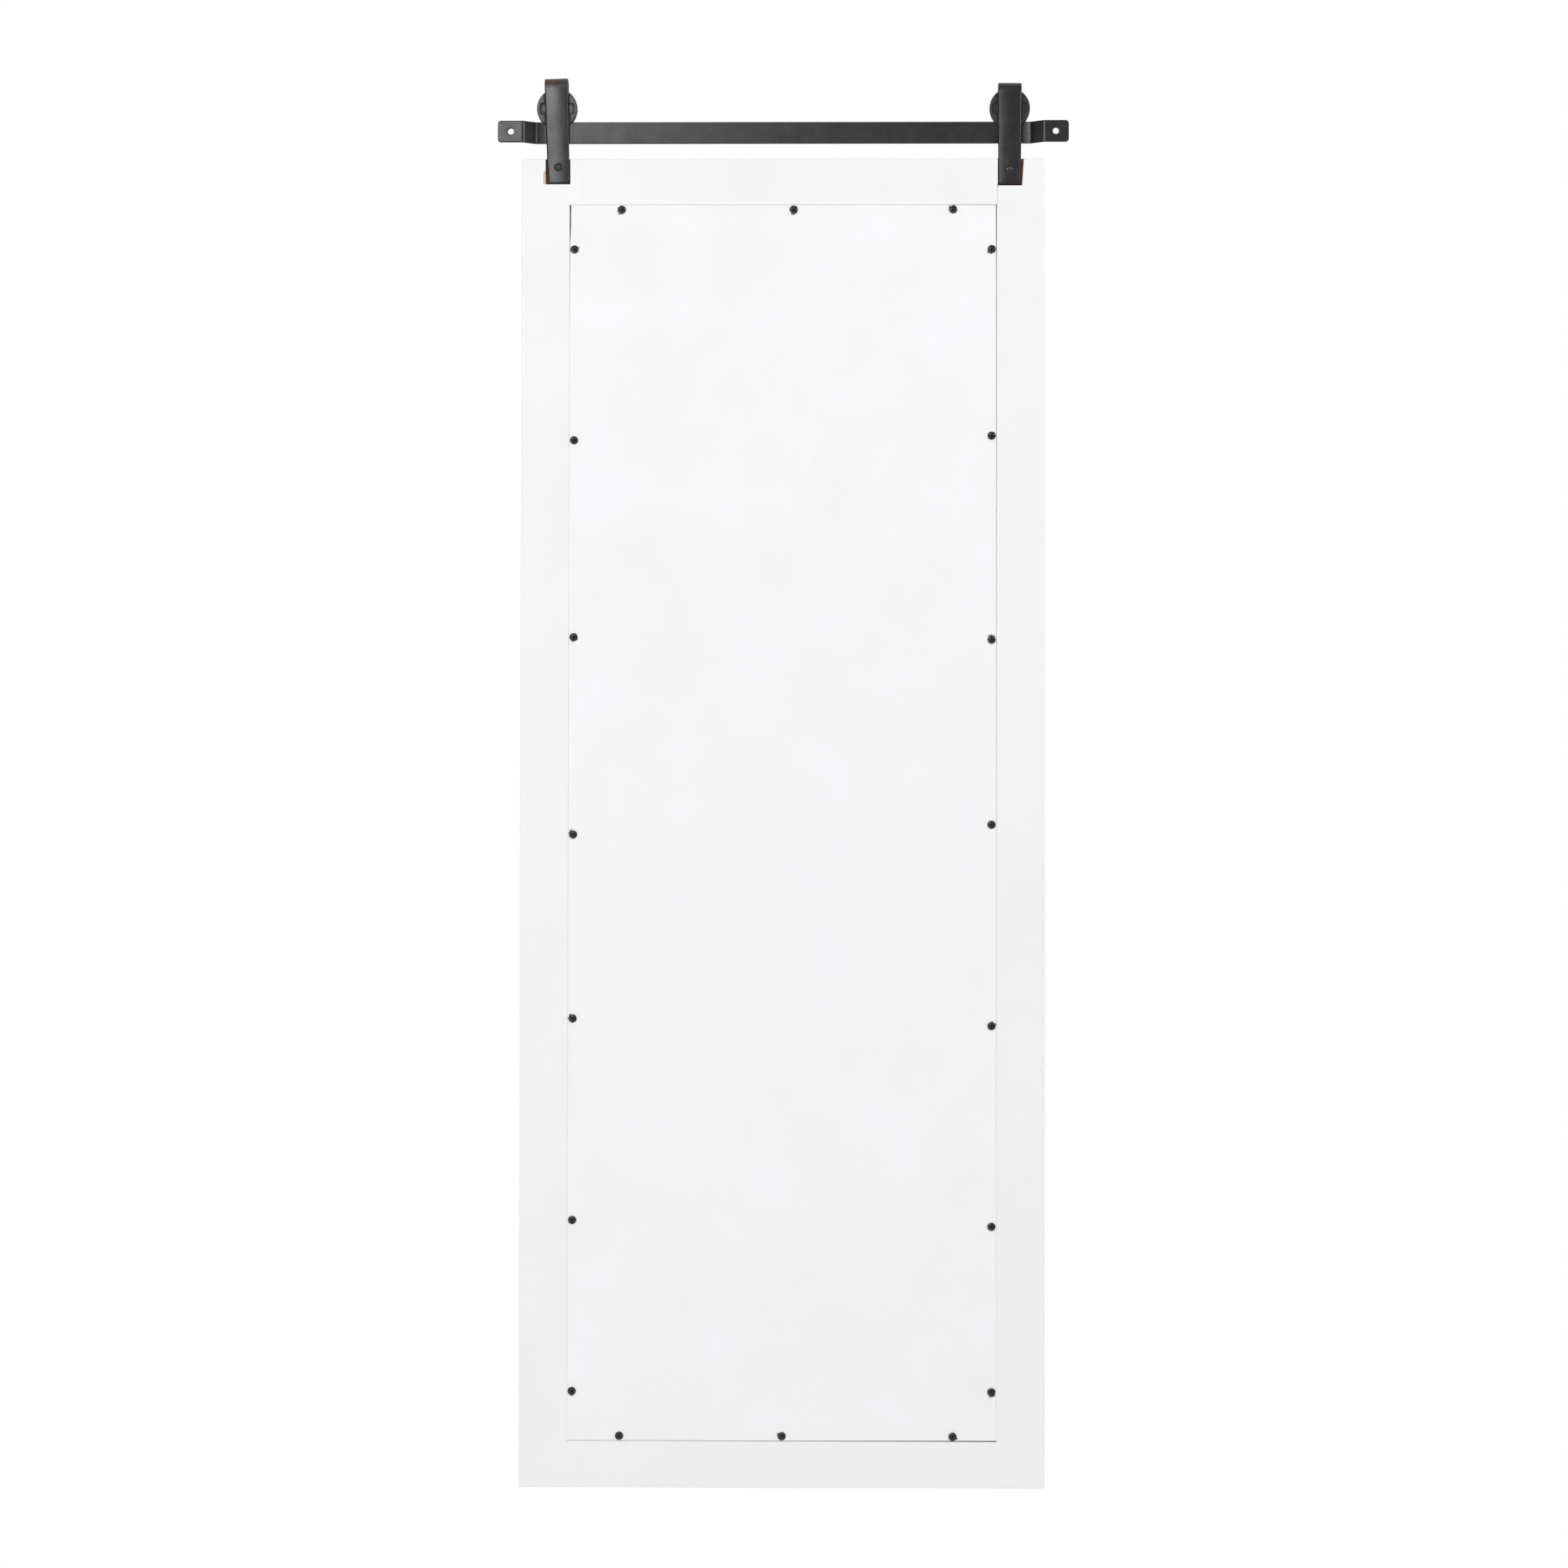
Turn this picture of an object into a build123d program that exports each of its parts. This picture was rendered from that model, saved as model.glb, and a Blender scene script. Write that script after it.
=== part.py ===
from build123d import *
from math import cos, radians, sin
import os

# Full-length wall mirror that hangs on two grooved wheels from a flat-bar track.
# Millimetres. X runs along the wall, Y comes away from the wall into the room, Z is up.
# The origin is on the wall, midway between the two wall-screw holes of the track.
# Left and right are as seen from the wall side, where the backing board is.

# Frame
frame_width = 600.0
frame_height = 1520.0
frame_thickness = 20.0
frame_drop = 31.0
member_width = 70.0
frame_edge_radius = 1.2
tenon_length = 40.0
tenon_width = 40.0
tenon_thickness = 6.0
tenon_setback = 10.0
tenon_end_gap = 1.0

# Track: a flat bar whose ends step back to the wall, with its holes a little outside the frame
wall_hole_outset = 12.5
wall_hole_diameter = 7.0
bar_height = 25.0
bar_thickness = 4.0
tab_outside_hole = 15.0
tab_inside_hole = 14.5
tab_corner_radius = 4.0
joggle_run = 14.0
joggle_bend_radius = 3.0

# Wheels: cast, with a flange on each side of the bar and blind pockets in both faces, over the stiles
axle_inset = 40.0
wheel_diameter = 46.5
wheel_width = 10.4
tread_radius = 15.0
groove_width = 5.4
wheel_rim_chamfer = 0.8
pocket_inner_radius = 9.5
pocket_outer_radius = 19.6
pocket_width = 12.5
pocket_depth = 1.6
wheel_bore_clearance = 0.08
rolling_gap = 0.2

# Axle bolts, and the washers that keep the wheels off the straps
axle_diameter = 8.0
axle_thread_diameter = 6.0
axle_thread_length = 2.5
axle_head_diameter = 15.0
axle_head_height = 2.8
axle_head_chamfer = 0.8
axle_socket_radius = 2.9
axle_socket_depth = 1.8
washer_diameter = 16.0
washer_thickness = 0.8
washer_bore_clearance = 0.2
wheel_side_gap = 0.2
axle_hole_clearance = 0.15

# Hanger straps: a long leg on the wall side, a bend over the wheel and a short leg on the room side
wall_gap = 4.0
strap_width = 27.2
strap_trim = 1.0
strap_thickness = 3.5
strap_bend_radius = 7.0
strap_taper_length = 26.0
strap_corner_radius = 2.5
short_leg_length = 15.0
left_strap_lean = 1.6
left_strap_rise = 34.9
left_strap_overlap = 28.4
left_screw_rise = 18.6
left_strap_waist_width = 25.8
left_strap_end_width = 23.8
right_strap_lean = -0.3
right_strap_rise = 29.4
right_strap_overlap = 30.2
right_screw_rise = 17.6
right_strap_waist_width = 26.4
right_strap_end_width = 25.6

# Notches sawn by hand into the back of the frame for the long legs
notch_end_gap = 1.0
left_notch_inner_gap = 1.1
left_notch_gap = 1.5
left_notch_foot_gap = 1.3
right_notch_inner_gap = 0.3
right_notch_gap = 3.1
right_notch_foot_gap = 1.0
chip_start = 12.3
chip_slope_height = 4.0
chip_width = 2.7
chip_depth = 0.8
chip_foot_setback = 0.6
saw_kerf_width = 0.9
saw_kerf_depth = 1.0
saw_kerf_length = 25.5

# Backing board, glass, and the foam tape between them
board_side_margin = 56.0
board_end_margin = 54.0
board_gap = 0.9
board_thickness = 3.0
board_recess = 0.2
board_trim_width = 2.6
board_trim_height = 33.0
glass_thickness = 4.0
glass_chamfer = 0.5
lip_overlap = 5.0
glass_gap = 1.0
setting_block_length = 40.0
setting_block_inset = 117.5
tape_thickness = 1.0
tape_width = 20.0
tape_side_inset = 80.0
tape_end_inset = 60.0

# Screws
board_screw_setback = 4.8
board_screw_head_diameter = 9.5
board_screw_head_height = 2.2
board_screw_head_chamfer = 0.7
hanger_screw_diameter = 4.5
hanger_screw_length = 16.0
hanger_screw_head_diameter = 10.1
hanger_hole_clearance = 0.35
countersink_angle = 90
fixing_clearance = 0.05

# Where the hand-driven board screws sit, as shares of the run between the first and the last
side_run_top_margin = 50.5
side_run_bottom_margin = 55.5
end_run_left_margin = 59.0
end_run_right_margin = 49.0
left_screw_shares = (0.0, 0.168, 0.341, 0.514, 0.675, 0.851, 1.0)
right_screw_shares = (0.0, 0.164, 0.343, 0.505, 0.681, 0.856, 1.0)
top_screw_shares = (0.0, 0.519, 1.0)
bottom_screw_shares = (0.0, 0.488, 1.0)

# Distances from the wall, stacked up from the gap behind the straps
strap_wall_face = wall_gap
strap_inner_face = strap_wall_face + strap_thickness
wheel_plane = strap_inner_face + washer_thickness + wheel_side_gap + wheel_width / 2
short_leg_inner_face = 2 * wheel_plane - strap_inner_face
short_leg_outer_face = short_leg_inner_face + strap_thickness
frame_back = wall_gap
frame_mid_plane = frame_back + frame_thickness / 2
board_back = frame_back + board_recess
board_front = board_back + board_thickness
glass_back = board_front + tape_thickness
glass_front = glass_back + glass_thickness

# Heights, widths and places along the wall
wheel_radius = wheel_diameter / 2
axle_height = bar_height / 2 + rolling_gap + tread_radius
wall_hole_spacing = frame_width + 2 * wall_hole_outset
left_axle_x = -frame_width / 2 + axle_inset
right_axle_x = frame_width / 2 - axle_inset
frame_top = -frame_drop
frame_middle = frame_top - frame_height / 2
opening_width = frame_width - 2 * member_width
opening_height = frame_height - 2 * member_width
board_width = frame_width - 2 * board_side_margin
board_height = frame_height - 2 * board_end_margin
board_top = frame_middle + board_height / 2
glass_width = opening_width + 2 * lip_overlap
glass_height = opening_height + 2 * lip_overlap
tape_spacing = glass_width / 2 - tape_side_inset
tape_length = glass_height - 2 * tape_end_inset
setting_block_spacing = glass_width - 2 * setting_block_inset


def leg_length(overlap):
    """Length of a strap's long leg below its axle, for how far it reaches down behind the frame."""
    return axle_height + frame_drop + overlap


def hanger_screw_place(axle_x, lean, overlap, screw_rise):
    """X and Z of the screw that holds a strap, on the strap's own leaning centre line."""
    below_axle = leg_length(overlap) - screw_rise
    return (axle_x + below_axle * sin(radians(lean)), axle_height - below_axle * cos(radians(lean)))


def side_screw_places(side, shares):
    """X and Z of the screws down one long side of the board, left (-1) or right (1)."""
    x = side * (board_width / 2 - board_screw_setback)
    run = board_height - side_run_top_margin - side_run_bottom_margin
    return [(x, board_top - side_run_top_margin - run * share) for share in shares]


def end_screw_places(end, shares):
    """X and Z of the screws along one short side of the board, top (1) or bottom (-1)."""
    z = frame_middle + end * (board_height / 2 - board_screw_setback)
    run = board_width - end_run_left_margin - end_run_right_margin
    return [(-board_width / 2 + end_run_left_margin + run * share, z) for share in shares]


def facing_wall(distance):
    """Plane parallel to the wall and seen from it, so that its normal points back to the wall."""
    return Plane(origin=(0, distance, 0), x_dir=(1, 0, 0), z_dir=(0, -1, 0))


hanger_screw_places = [
    hanger_screw_place(left_axle_x, left_strap_lean, left_strap_overlap, left_screw_rise),
    hanger_screw_place(right_axle_x, right_strap_lean, right_strap_overlap, right_screw_rise),
]


# Track bar: the plan outline of the stepped bar, extruded to its height, rounded at its corners and drilled
bend_at_wall = wall_hole_spacing / 2 - tab_inside_hole
bend_at_bar = bend_at_wall - joggle_run
bar_end = wall_hole_spacing / 2 + tab_outside_hole
bar_back = wheel_plane - bar_thickness / 2
with BuildPart() as track_bar:
    with BuildSketch(Plane.XY):
        with BuildLine() as wall_side:
            FilletPolyline(
                (-bar_end, 0),
                (-bend_at_wall, 0),
                (-bend_at_bar, bar_back),
                (bend_at_bar, bar_back),
                (bend_at_wall, 0),
                (bar_end, 0),
                radius=[
                    joggle_bend_radius + bar_thickness,
                    joggle_bend_radius,
                    joggle_bend_radius,
                    joggle_bend_radius + bar_thickness,
                ],
            )
            offset(amount=bar_thickness, side=Side.LEFT)
        make_face()
    extrude(amount=bar_height / 2, both=True)
    fillet(track_bar.edges().filter_by(Axis.Y), tab_corner_radius)
    with BuildSketch(facing_wall(0)):
        with Locations((-wall_hole_spacing / 2, 0), (wall_hole_spacing / 2, 0)):
            Circle(wall_hole_diameter / 2)
    extrude(amount=-bar_thickness, mode=Mode.SUBTRACT)


# Wheel: a turned profile with its groove, then a cross of blind pockets in each face
def make_wheel(axle_x):
    centre = (axle_x, wheel_plane, axle_height)
    bore_radius = axle_diameter / 2 + wheel_bore_clearance
    half_width = wheel_width / 2
    half_groove = groove_width / 2
    with BuildPart() as wheel:
        with BuildSketch(Plane(origin=centre, x_dir=(0, 1, 0), z_dir=(1, 0, 0))) as section:
            with BuildLine():
                Polyline(
                    (-half_width, bore_radius),
                    (-half_width, wheel_radius),
                    (-half_groove, wheel_radius),
                    (-half_groove, tread_radius),
                    (half_groove, tread_radius),
                    (half_groove, wheel_radius),
                    (half_width, wheel_radius),
                    (half_width, bore_radius),
                    close=True,
                )
            make_face()
            rim_corners = section.vertices().group_by(Axis.Y)[-1].sort_by(Axis.X)
            chamfer([rim_corners[0], rim_corners[-1]], wheel_rim_chamfer)
        revolve(axis=Axis(centre, (0, 1, 0)))
        for facing in (-1, 1):
            face_centre = (axle_x, wheel_plane + facing * half_width, axle_height)
            with BuildSketch(Plane(origin=face_centre, x_dir=(1, 0, 0), z_dir=(0, facing, 0))):
                with PolarLocations(pocket_inner_radius, 4):
                    Rectangle(wheel_radius, pocket_width, align=(Align.MIN, Align.CENTER))
                Circle(pocket_outer_radius, mode=Mode.INTERSECT)
            extrude(amount=-pocket_depth, mode=Mode.SUBTRACT)
    return wheel


left_wheel = make_wheel(left_axle_x)
right_wheel = make_wheel(right_axle_x)


# Axle bolts: turned shoulder bolts with a low head on the room side and a hexagon socket in it
axle_head_radius = axle_head_diameter / 2
axle_head_face = short_leg_outer_face + axle_head_height
axle_thread_end = strap_inner_face - axle_thread_length
with BuildPart() as axle_bolts:
    for axle_x in (left_axle_x, right_axle_x):
        centre = (axle_x, 0, axle_height)
        with BuildSketch(Plane(origin=centre, x_dir=(0, 1, 0), z_dir=(1, 0, 0))):
            with BuildLine():
                Polyline(
                    (axle_head_face, 0),
                    (axle_thread_end, 0),
                    (axle_thread_end, axle_thread_diameter / 2),
                    (strap_inner_face, axle_thread_diameter / 2),
                    (strap_inner_face, axle_diameter / 2),
                    (short_leg_outer_face, axle_diameter / 2),
                    (short_leg_outer_face, axle_head_radius),
                    (axle_head_face - axle_head_chamfer, axle_head_radius),
                    (axle_head_face, axle_head_radius - axle_head_chamfer),
                    close=True,
                )
            make_face()
        revolve(axis=Axis(centre, (0, 1, 0)))
        socket_mouth = (axle_x, axle_head_face, axle_height)
        with BuildSketch(Plane(origin=socket_mouth, x_dir=(1, 0, 0), z_dir=(0, 1, 0))):
            RegularPolygon(axle_socket_radius, 6)
        extrude(amount=-axle_socket_depth, mode=Mode.SUBTRACT)


# Washers: one against each leg of each strap
with BuildPart() as wheel_washers:
    for outer_face in (strap_inner_face, short_leg_inner_face - washer_thickness):
        with BuildSketch(facing_wall(outer_face)):
            with Locations((left_axle_x, axle_height), (right_axle_x, axle_height)):
                Circle(washer_diameter / 2)
                Circle(axle_diameter / 2 + washer_bore_clearance, mode=Mode.SUBTRACT)
        extrude(amount=-washer_thickness)


# Hanger strap: flat bar bent over the wheel like a J, trimmed at its ends and drilled
def make_strap(axle_x, lean, rise, overlap, screw_rise, waist_width, end_width):
    across = (cos(radians(lean)), 0, sin(radians(lean)))
    seen_from_wall = Plane(origin=(axle_x, 0, axle_height), x_dir=across, z_dir=(0, -1, 0))
    seen_from_side = Plane(origin=(axle_x, 0, axle_height), x_dir=(0, 1, 0), z_dir=across)
    long_leg = leg_length(overlap)
    taper_start = strap_taper_length - long_leg
    with BuildPart() as strap:
        with BuildLine(seen_from_side) as strap_line:
            FilletPolyline(
                (strap_inner_face - strap_thickness / 2, -long_leg),
                (strap_inner_face - strap_thickness / 2, rise - strap_thickness / 2),
                (short_leg_inner_face + strap_thickness / 2, rise - strap_thickness / 2),
                (short_leg_inner_face + strap_thickness / 2, -short_leg_length),
                radius=strap_bend_radius,
            )
        with BuildSketch(Plane(origin=strap_line.line @ 0, x_dir=across, z_dir=seen_from_wall.y_dir)):
            Rectangle(strap_width + 2 * strap_trim, strap_thickness)
        sweep()
        with BuildSketch(seen_from_wall.offset(-strap_wall_face)) as outline:
            with BuildLine():
                Polyline(
                    (-strap_width / 2, rise + strap_trim),
                    (-waist_width / 2, taper_start),
                    (-end_width / 2, -long_leg),
                    (end_width / 2, -long_leg),
                    (waist_width / 2, taper_start),
                    (strap_width / 2, rise + strap_trim),
                    close=True,
                )
            make_face()
            fillet(outline.vertices().group_by(Axis.Y)[0], strap_corner_radius)
        extrude(amount=-short_leg_outer_face, mode=Mode.INTERSECT)
        short_leg_corners = strap.edges().filter_by(Axis.Y).group_by(Axis.Y)[-1]
        fillet(short_leg_corners, strap_corner_radius)
        with BuildSketch(seen_from_wall.offset(-strap_inner_face)):
            Circle(axle_thread_diameter / 2 + fixing_clearance)
        extrude(amount=axle_thread_length, mode=Mode.SUBTRACT)
        with BuildSketch(seen_from_wall.offset(-short_leg_inner_face)):
            Circle(axle_diameter / 2 + axle_hole_clearance)
        extrude(amount=-strap_thickness, mode=Mode.SUBTRACT)
        screw_x, screw_z = hanger_screw_place(axle_x, lean, overlap, screw_rise)
        with Locations(Plane(origin=(screw_x, strap_wall_face, screw_z), x_dir=across, z_dir=(0, -1, 0))):
            CounterSinkHole(
                hanger_screw_diameter / 2 + hanger_hole_clearance,
                hanger_screw_head_diameter / 2 + fixing_clearance,
                depth=strap_thickness,
                counter_sink_angle=countersink_angle,
            )
    return strap


left_hanger_strap = make_strap(
    left_axle_x,
    left_strap_lean,
    left_strap_rise,
    left_strap_overlap,
    left_screw_rise,
    left_strap_waist_width,
    left_strap_end_width,
)
right_hanger_strap = make_strap(
    right_axle_x,
    right_strap_lean,
    right_strap_rise,
    right_strap_overlap,
    right_screw_rise,
    right_strap_waist_width,
    right_strap_end_width,
)


# Hanger screws: countersunk head and plain shank, one through each strap
countersink_depth = (hanger_screw_head_diameter - hanger_screw_diameter) / 2
with BuildPart() as hanger_screws:
    for screw_x, screw_z in hanger_screw_places:
        head_middle = (screw_x, strap_wall_face, screw_z)
        with BuildSketch(Plane(origin=head_middle, x_dir=(1, 0, 0), z_dir=(0, 0, 1))):
            Polygon(
                (0, 0),
                (hanger_screw_head_diameter / 2, 0),
                (hanger_screw_diameter / 2, countersink_depth),
                (hanger_screw_diameter / 2, hanger_screw_length),
                (0, hanger_screw_length),
                align=None,
            )
        revolve(axis=Axis(head_middle, (0, 1, 0)))


def make_board_screws(places):
    """Pan heads on the board at the given X and Z places."""
    with BuildPart() as heads:
        with BuildSketch(facing_wall(board_back)):
            with Locations(*places):
                Circle(board_screw_head_diameter / 2)
        extrude(amount=board_screw_head_height)
        chamfer(heads.faces().sort_by(Axis.Y)[0].edges(), board_screw_head_chamfer)
    return heads


board_screws_left = make_board_screws(side_screw_places(-1, left_screw_shares))
board_screws_right = make_board_screws(side_screw_places(1, right_screw_shares))
board_screws_top = make_board_screws(end_screw_places(1, top_screw_shares))
board_screws_bottom = make_board_screws(end_screw_places(-1, bottom_screw_shares))


# The space behind the frame's lip that holds the board, the tape and the glass
with BuildPart() as rebate:
    with BuildSketch(facing_wall(frame_back)):
        with Locations((0, frame_middle)):
            Rectangle(board_width + 2 * board_gap, board_height + 2 * board_gap)
    extrude(amount=frame_back - board_front)
    with BuildSketch(facing_wall(board_front)):
        with Locations((0, frame_middle)):
            Rectangle(glass_width + 2 * glass_gap, glass_height + 2 * glass_gap)
    extrude(amount=board_front - glass_front)

# Pilot holes in the stiles for the hanger screws
with BuildPart() as pilot_holes:
    with BuildSketch(facing_wall(strap_wall_face)):
        with Locations(*hanger_screw_places):
            Circle(hanger_screw_diameter / 2 + fixing_clearance)
    extrude(amount=-hanger_screw_length)


def make_tenons(end_gap):
    """The loose tenon of each corner, or with a gap at its ends the mortises that it is glued into."""
    with BuildPart() as tenons:
        for end in (-1, 1):
            middle = frame_middle + end * (frame_height / 2 - tenon_setback - tenon_width / 2)
            for side in (-1, 1):
                with Locations((side * opening_width / 2, frame_mid_plane, middle)):
                    Box(tenon_length + 2 * end_gap, tenon_thickness, tenon_width)
    return tenons


corner_tenons = make_tenons(0)
mortises = make_tenons(tenon_end_gap)


def strap_middle_at_frame_top(axle_x, lean):
    """X of a strap's leaning centre line where it meets the frame's top."""
    return axle_x + (axle_height + frame_drop) * sin(radians(lean))


def make_notch(axle_x, lean, overlap, waist_width, side, inner_gap, gap, foot_gap):
    """Rough notch for a strap, whose outer wall leans from one gap at the top to another at the foot."""
    strap_x = strap_middle_at_frame_top(axle_x, lean)
    inner_wall = strap_x - side * (waist_width / 2 + inner_gap)
    outer_wall = strap_x + side * (waist_width / 2 + gap)
    outer_foot = strap_x + side * (waist_width / 2 + foot_gap)
    floor = frame_top - overlap - notch_end_gap
    with BuildPart() as notch:
        with BuildSketch(facing_wall(frame_back)):
            with BuildLine():
                Polyline(
                    (inner_wall, frame_top + strap_thickness),
                    (inner_wall, floor),
                    (outer_foot, floor),
                    (outer_wall, frame_top),
                    (outer_wall, frame_top + strap_thickness),
                    close=True,
                )
            make_face()
        extrude(amount=-strap_thickness)
    return notch


left_notch = make_notch(
    left_axle_x,
    left_strap_lean,
    left_strap_overlap,
    left_strap_waist_width,
    -1,
    left_notch_inner_gap,
    left_notch_gap,
    left_notch_foot_gap,
)
right_notch = make_notch(
    right_axle_x,
    right_strap_lean,
    right_strap_overlap,
    right_strap_waist_width,
    1,
    right_notch_inner_gap,
    right_notch_gap,
    right_notch_foot_gap,
)

# Where a splinter broke away along the outer wall of the left notch
chip_inner_edge = strap_middle_at_frame_top(left_axle_x, left_strap_lean) - left_strap_waist_width / 2
chip_outer_edge = chip_inner_edge - left_notch_gap - chip_width
chip_top = frame_top - chip_start
chip_foot = frame_top - left_strap_overlap - notch_end_gap + chip_foot_setback
with BuildPart() as splinter_chip:
    with BuildSketch(facing_wall(frame_back)):
        with BuildLine():
            Polyline(
                (chip_inner_edge, chip_top),
                (chip_outer_edge, chip_top - chip_slope_height),
                (chip_outer_edge, chip_foot),
                (chip_inner_edge, chip_foot),
                close=True,
            )
        make_face()
    extrude(amount=-chip_depth)

# Where the saw ran on below the outer wall of the right notch
kerf_top = frame_top - right_strap_overlap
kerf_edge = right_notch.edges().sort_by(Axis.Z)[0].bounding_box().max.X
with BuildPart() as saw_kerf:
    with BuildSketch(facing_wall(frame_back)):
        with Locations((kerf_edge, kerf_top)):
            Rectangle(saw_kerf_width, saw_kerf_length, align=(Align.MAX, Align.MAX))
    extrude(amount=-saw_kerf_depth)


# Frame members: plain boards with rounded outer edges, from which the shared cuts are taken
def make_stile(side, own_cuts):
    with BuildPart() as stile:
        with BuildSketch(facing_wall(frame_back)):
            with Locations((side * (frame_width - member_width) / 2, frame_middle)):
                Rectangle(member_width, frame_height)
        extrude(amount=-frame_thickness)
        outer_face = stile.faces().filter_by(Axis.X).sort_by(Axis.X)[0 if side < 0 else -1]
        end_edges = stile.edges().filter_by(Axis.X)
        fillet(outer_face.edges().filter_by(Axis.Z) + end_edges, frame_edge_radius)
        for cut in (rebate, pilot_holes, mortises, *own_cuts):
            add(cut.part, mode=Mode.SUBTRACT)
    return stile


def make_rail(end):
    with BuildPart() as rail:
        with BuildSketch(facing_wall(frame_back)):
            with Locations((0, frame_middle + end * (frame_height - member_width) / 2)):
                Rectangle(opening_width, member_width)
        extrude(amount=-frame_thickness)
        outer_face = rail.faces().filter_by(Axis.Z).sort_by(Axis.Z)[0 if end < 0 else -1]
        fillet(outer_face.edges().filter_by(Axis.X), frame_edge_radius)
        for cut in (rebate, mortises):
            add(cut.part, mode=Mode.SUBTRACT)
    return rail


left_stile = make_stile(-1, [left_notch, splinter_chip])
right_stile = make_stile(1, [right_notch, saw_kerf])
top_rail = make_rail(1)
bottom_rail = make_rail(-1)


# Backing board: a thin board, trimmed by hand at one corner
with BuildPart() as backing_board:
    with BuildSketch(facing_wall(board_back)):
        with Locations((0, frame_middle)):
            Rectangle(board_width, board_height)
        with BuildLine():
            Polyline(
                (-board_width / 2, board_top),
                (-board_width / 2 + board_trim_width, board_top),
                (-board_width / 2 + board_trim_width, board_top - board_trim_height / 2),
                (-board_width / 2, board_top - board_trim_height),
                close=True,
            )
        make_face(mode=Mode.SUBTRACT)
    extrude(amount=-board_thickness)


# Foam tape: upright strips between the glass and the board
with BuildPart() as foam_tape:
    with BuildSketch(facing_wall(board_front)):
        with Locations((0, frame_middle)):
            with GridLocations(tape_spacing, 0, 3, 1):
                Rectangle(tape_width, tape_length)
    extrude(amount=-tape_thickness)


# Setting blocks: two thin blocks that the glass stands on
with BuildPart() as setting_blocks:
    with BuildSketch(facing_wall(glass_back)):
        with Locations((0, frame_middle - glass_height / 2 - glass_gap / 2)):
            with GridLocations(setting_block_spacing, 0, 2, 1):
                Rectangle(setting_block_length, glass_gap)
    extrude(amount=-glass_thickness)


# Mirror glass: a plate with ground edges
with BuildPart() as mirror_glass:
    with BuildSketch(facing_wall(glass_back)):
        with Locations((0, frame_middle)):
            Rectangle(glass_width, glass_height)
    extrude(amount=-glass_thickness)
    chamfer(mirror_glass.edges().filter_by(Axis.Y, reverse=True), glass_chamfer)


pieces = {
    "track_bar": track_bar,
    "left_hanger_strap": left_hanger_strap,
    "right_hanger_strap": right_hanger_strap,
    "left_wheel": left_wheel,
    "right_wheel": right_wheel,
    "axle_bolts": axle_bolts,
    "wheel_washers": wheel_washers,
    "hanger_screws": hanger_screws,
    "left_stile": left_stile,
    "right_stile": right_stile,
    "top_rail": top_rail,
    "bottom_rail": bottom_rail,
    "corner_tenons": corner_tenons,
    "mirror_glass": mirror_glass,
    "setting_blocks": setting_blocks,
    "foam_tape": foam_tape,
    "backing_board": backing_board,
    "board_screws_left": board_screws_left,
    "board_screws_right": board_screws_right,
    "board_screws_top": board_screws_top,
    "board_screws_bottom": board_screws_bottom,
}
os.makedirs("parts", exist_ok=True)
for label, piece in pieces.items():
    piece.part.label = label
    export_step(piece.part, f"parts/{label}.step")
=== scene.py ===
"""Looks of a full-length wall mirror that hangs from a short wheel track, seen from its wall side."""

import logging
import math
import random
from dataclasses import dataclass
from enum import Enum

import bpy
from bpy.types import Material, Node, NodeSocket, NodeTree, Object
from mathutils import Matrix, Vector

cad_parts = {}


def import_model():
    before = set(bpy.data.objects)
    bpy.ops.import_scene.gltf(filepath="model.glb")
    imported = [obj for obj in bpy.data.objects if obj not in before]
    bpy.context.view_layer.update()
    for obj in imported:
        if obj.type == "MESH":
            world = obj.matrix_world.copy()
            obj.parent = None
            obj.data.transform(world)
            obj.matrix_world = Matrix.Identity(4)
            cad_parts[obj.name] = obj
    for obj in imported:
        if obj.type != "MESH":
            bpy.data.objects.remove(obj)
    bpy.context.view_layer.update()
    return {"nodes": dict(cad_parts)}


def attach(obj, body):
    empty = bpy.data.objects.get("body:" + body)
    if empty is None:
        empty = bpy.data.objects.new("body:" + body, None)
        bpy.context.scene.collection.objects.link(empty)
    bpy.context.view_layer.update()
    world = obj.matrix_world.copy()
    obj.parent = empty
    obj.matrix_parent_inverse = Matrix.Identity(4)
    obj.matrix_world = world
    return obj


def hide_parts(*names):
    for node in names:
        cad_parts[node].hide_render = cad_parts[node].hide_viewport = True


log = logging.getLogger("wall_mirror")

MM = 0.001
WHITE = (1.0, 1.0, 1.0, 1.0)

# Most of a noise pattern lies between these two values
NOISE_LOW = 0.3
NOISE_HIGH = 0.7

# In metres: more than the size of a screw, and less than the space between two
SCREW_REACH = 0.025


class Body(Enum):
    """The body that the frame, the panel and their screws ride on."""

    MIRROR = "mirror"


class Side(Enum):
    """Left and right as seen from the wall side."""

    LEFT = "left"
    RIGHT = "right"


@dataclass(frozen=True)
class Region:
    """A box in the object's own frame, in millimetres, that a finish can pick out.

    Attributes:
        low: Lowest corner.
        high: Highest corner.
    """

    low: tuple[float, float, float]
    high: tuple[float, float, float]


@dataclass(frozen=True)
class Cut:
    """Where a tool went through a coat into bare wood.

    Attributes:
        region: The box that the cut's surfaces lie in.
        light: Colour of the bare wood.
        dark: Colour of its darker fibres.
    """

    region: Region
    light: str
    dark: str


@dataclass(frozen=True)
class Scratch:
    """A thin straight mark on a surface that faces the wall, in millimetres.

    Attributes:
        start: X and Z of one end.
        end: X and Z of the other end.
        width: How wide the mark is.
    """

    start: tuple[float, float]
    end: tuple[float, float]
    width: float


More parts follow.
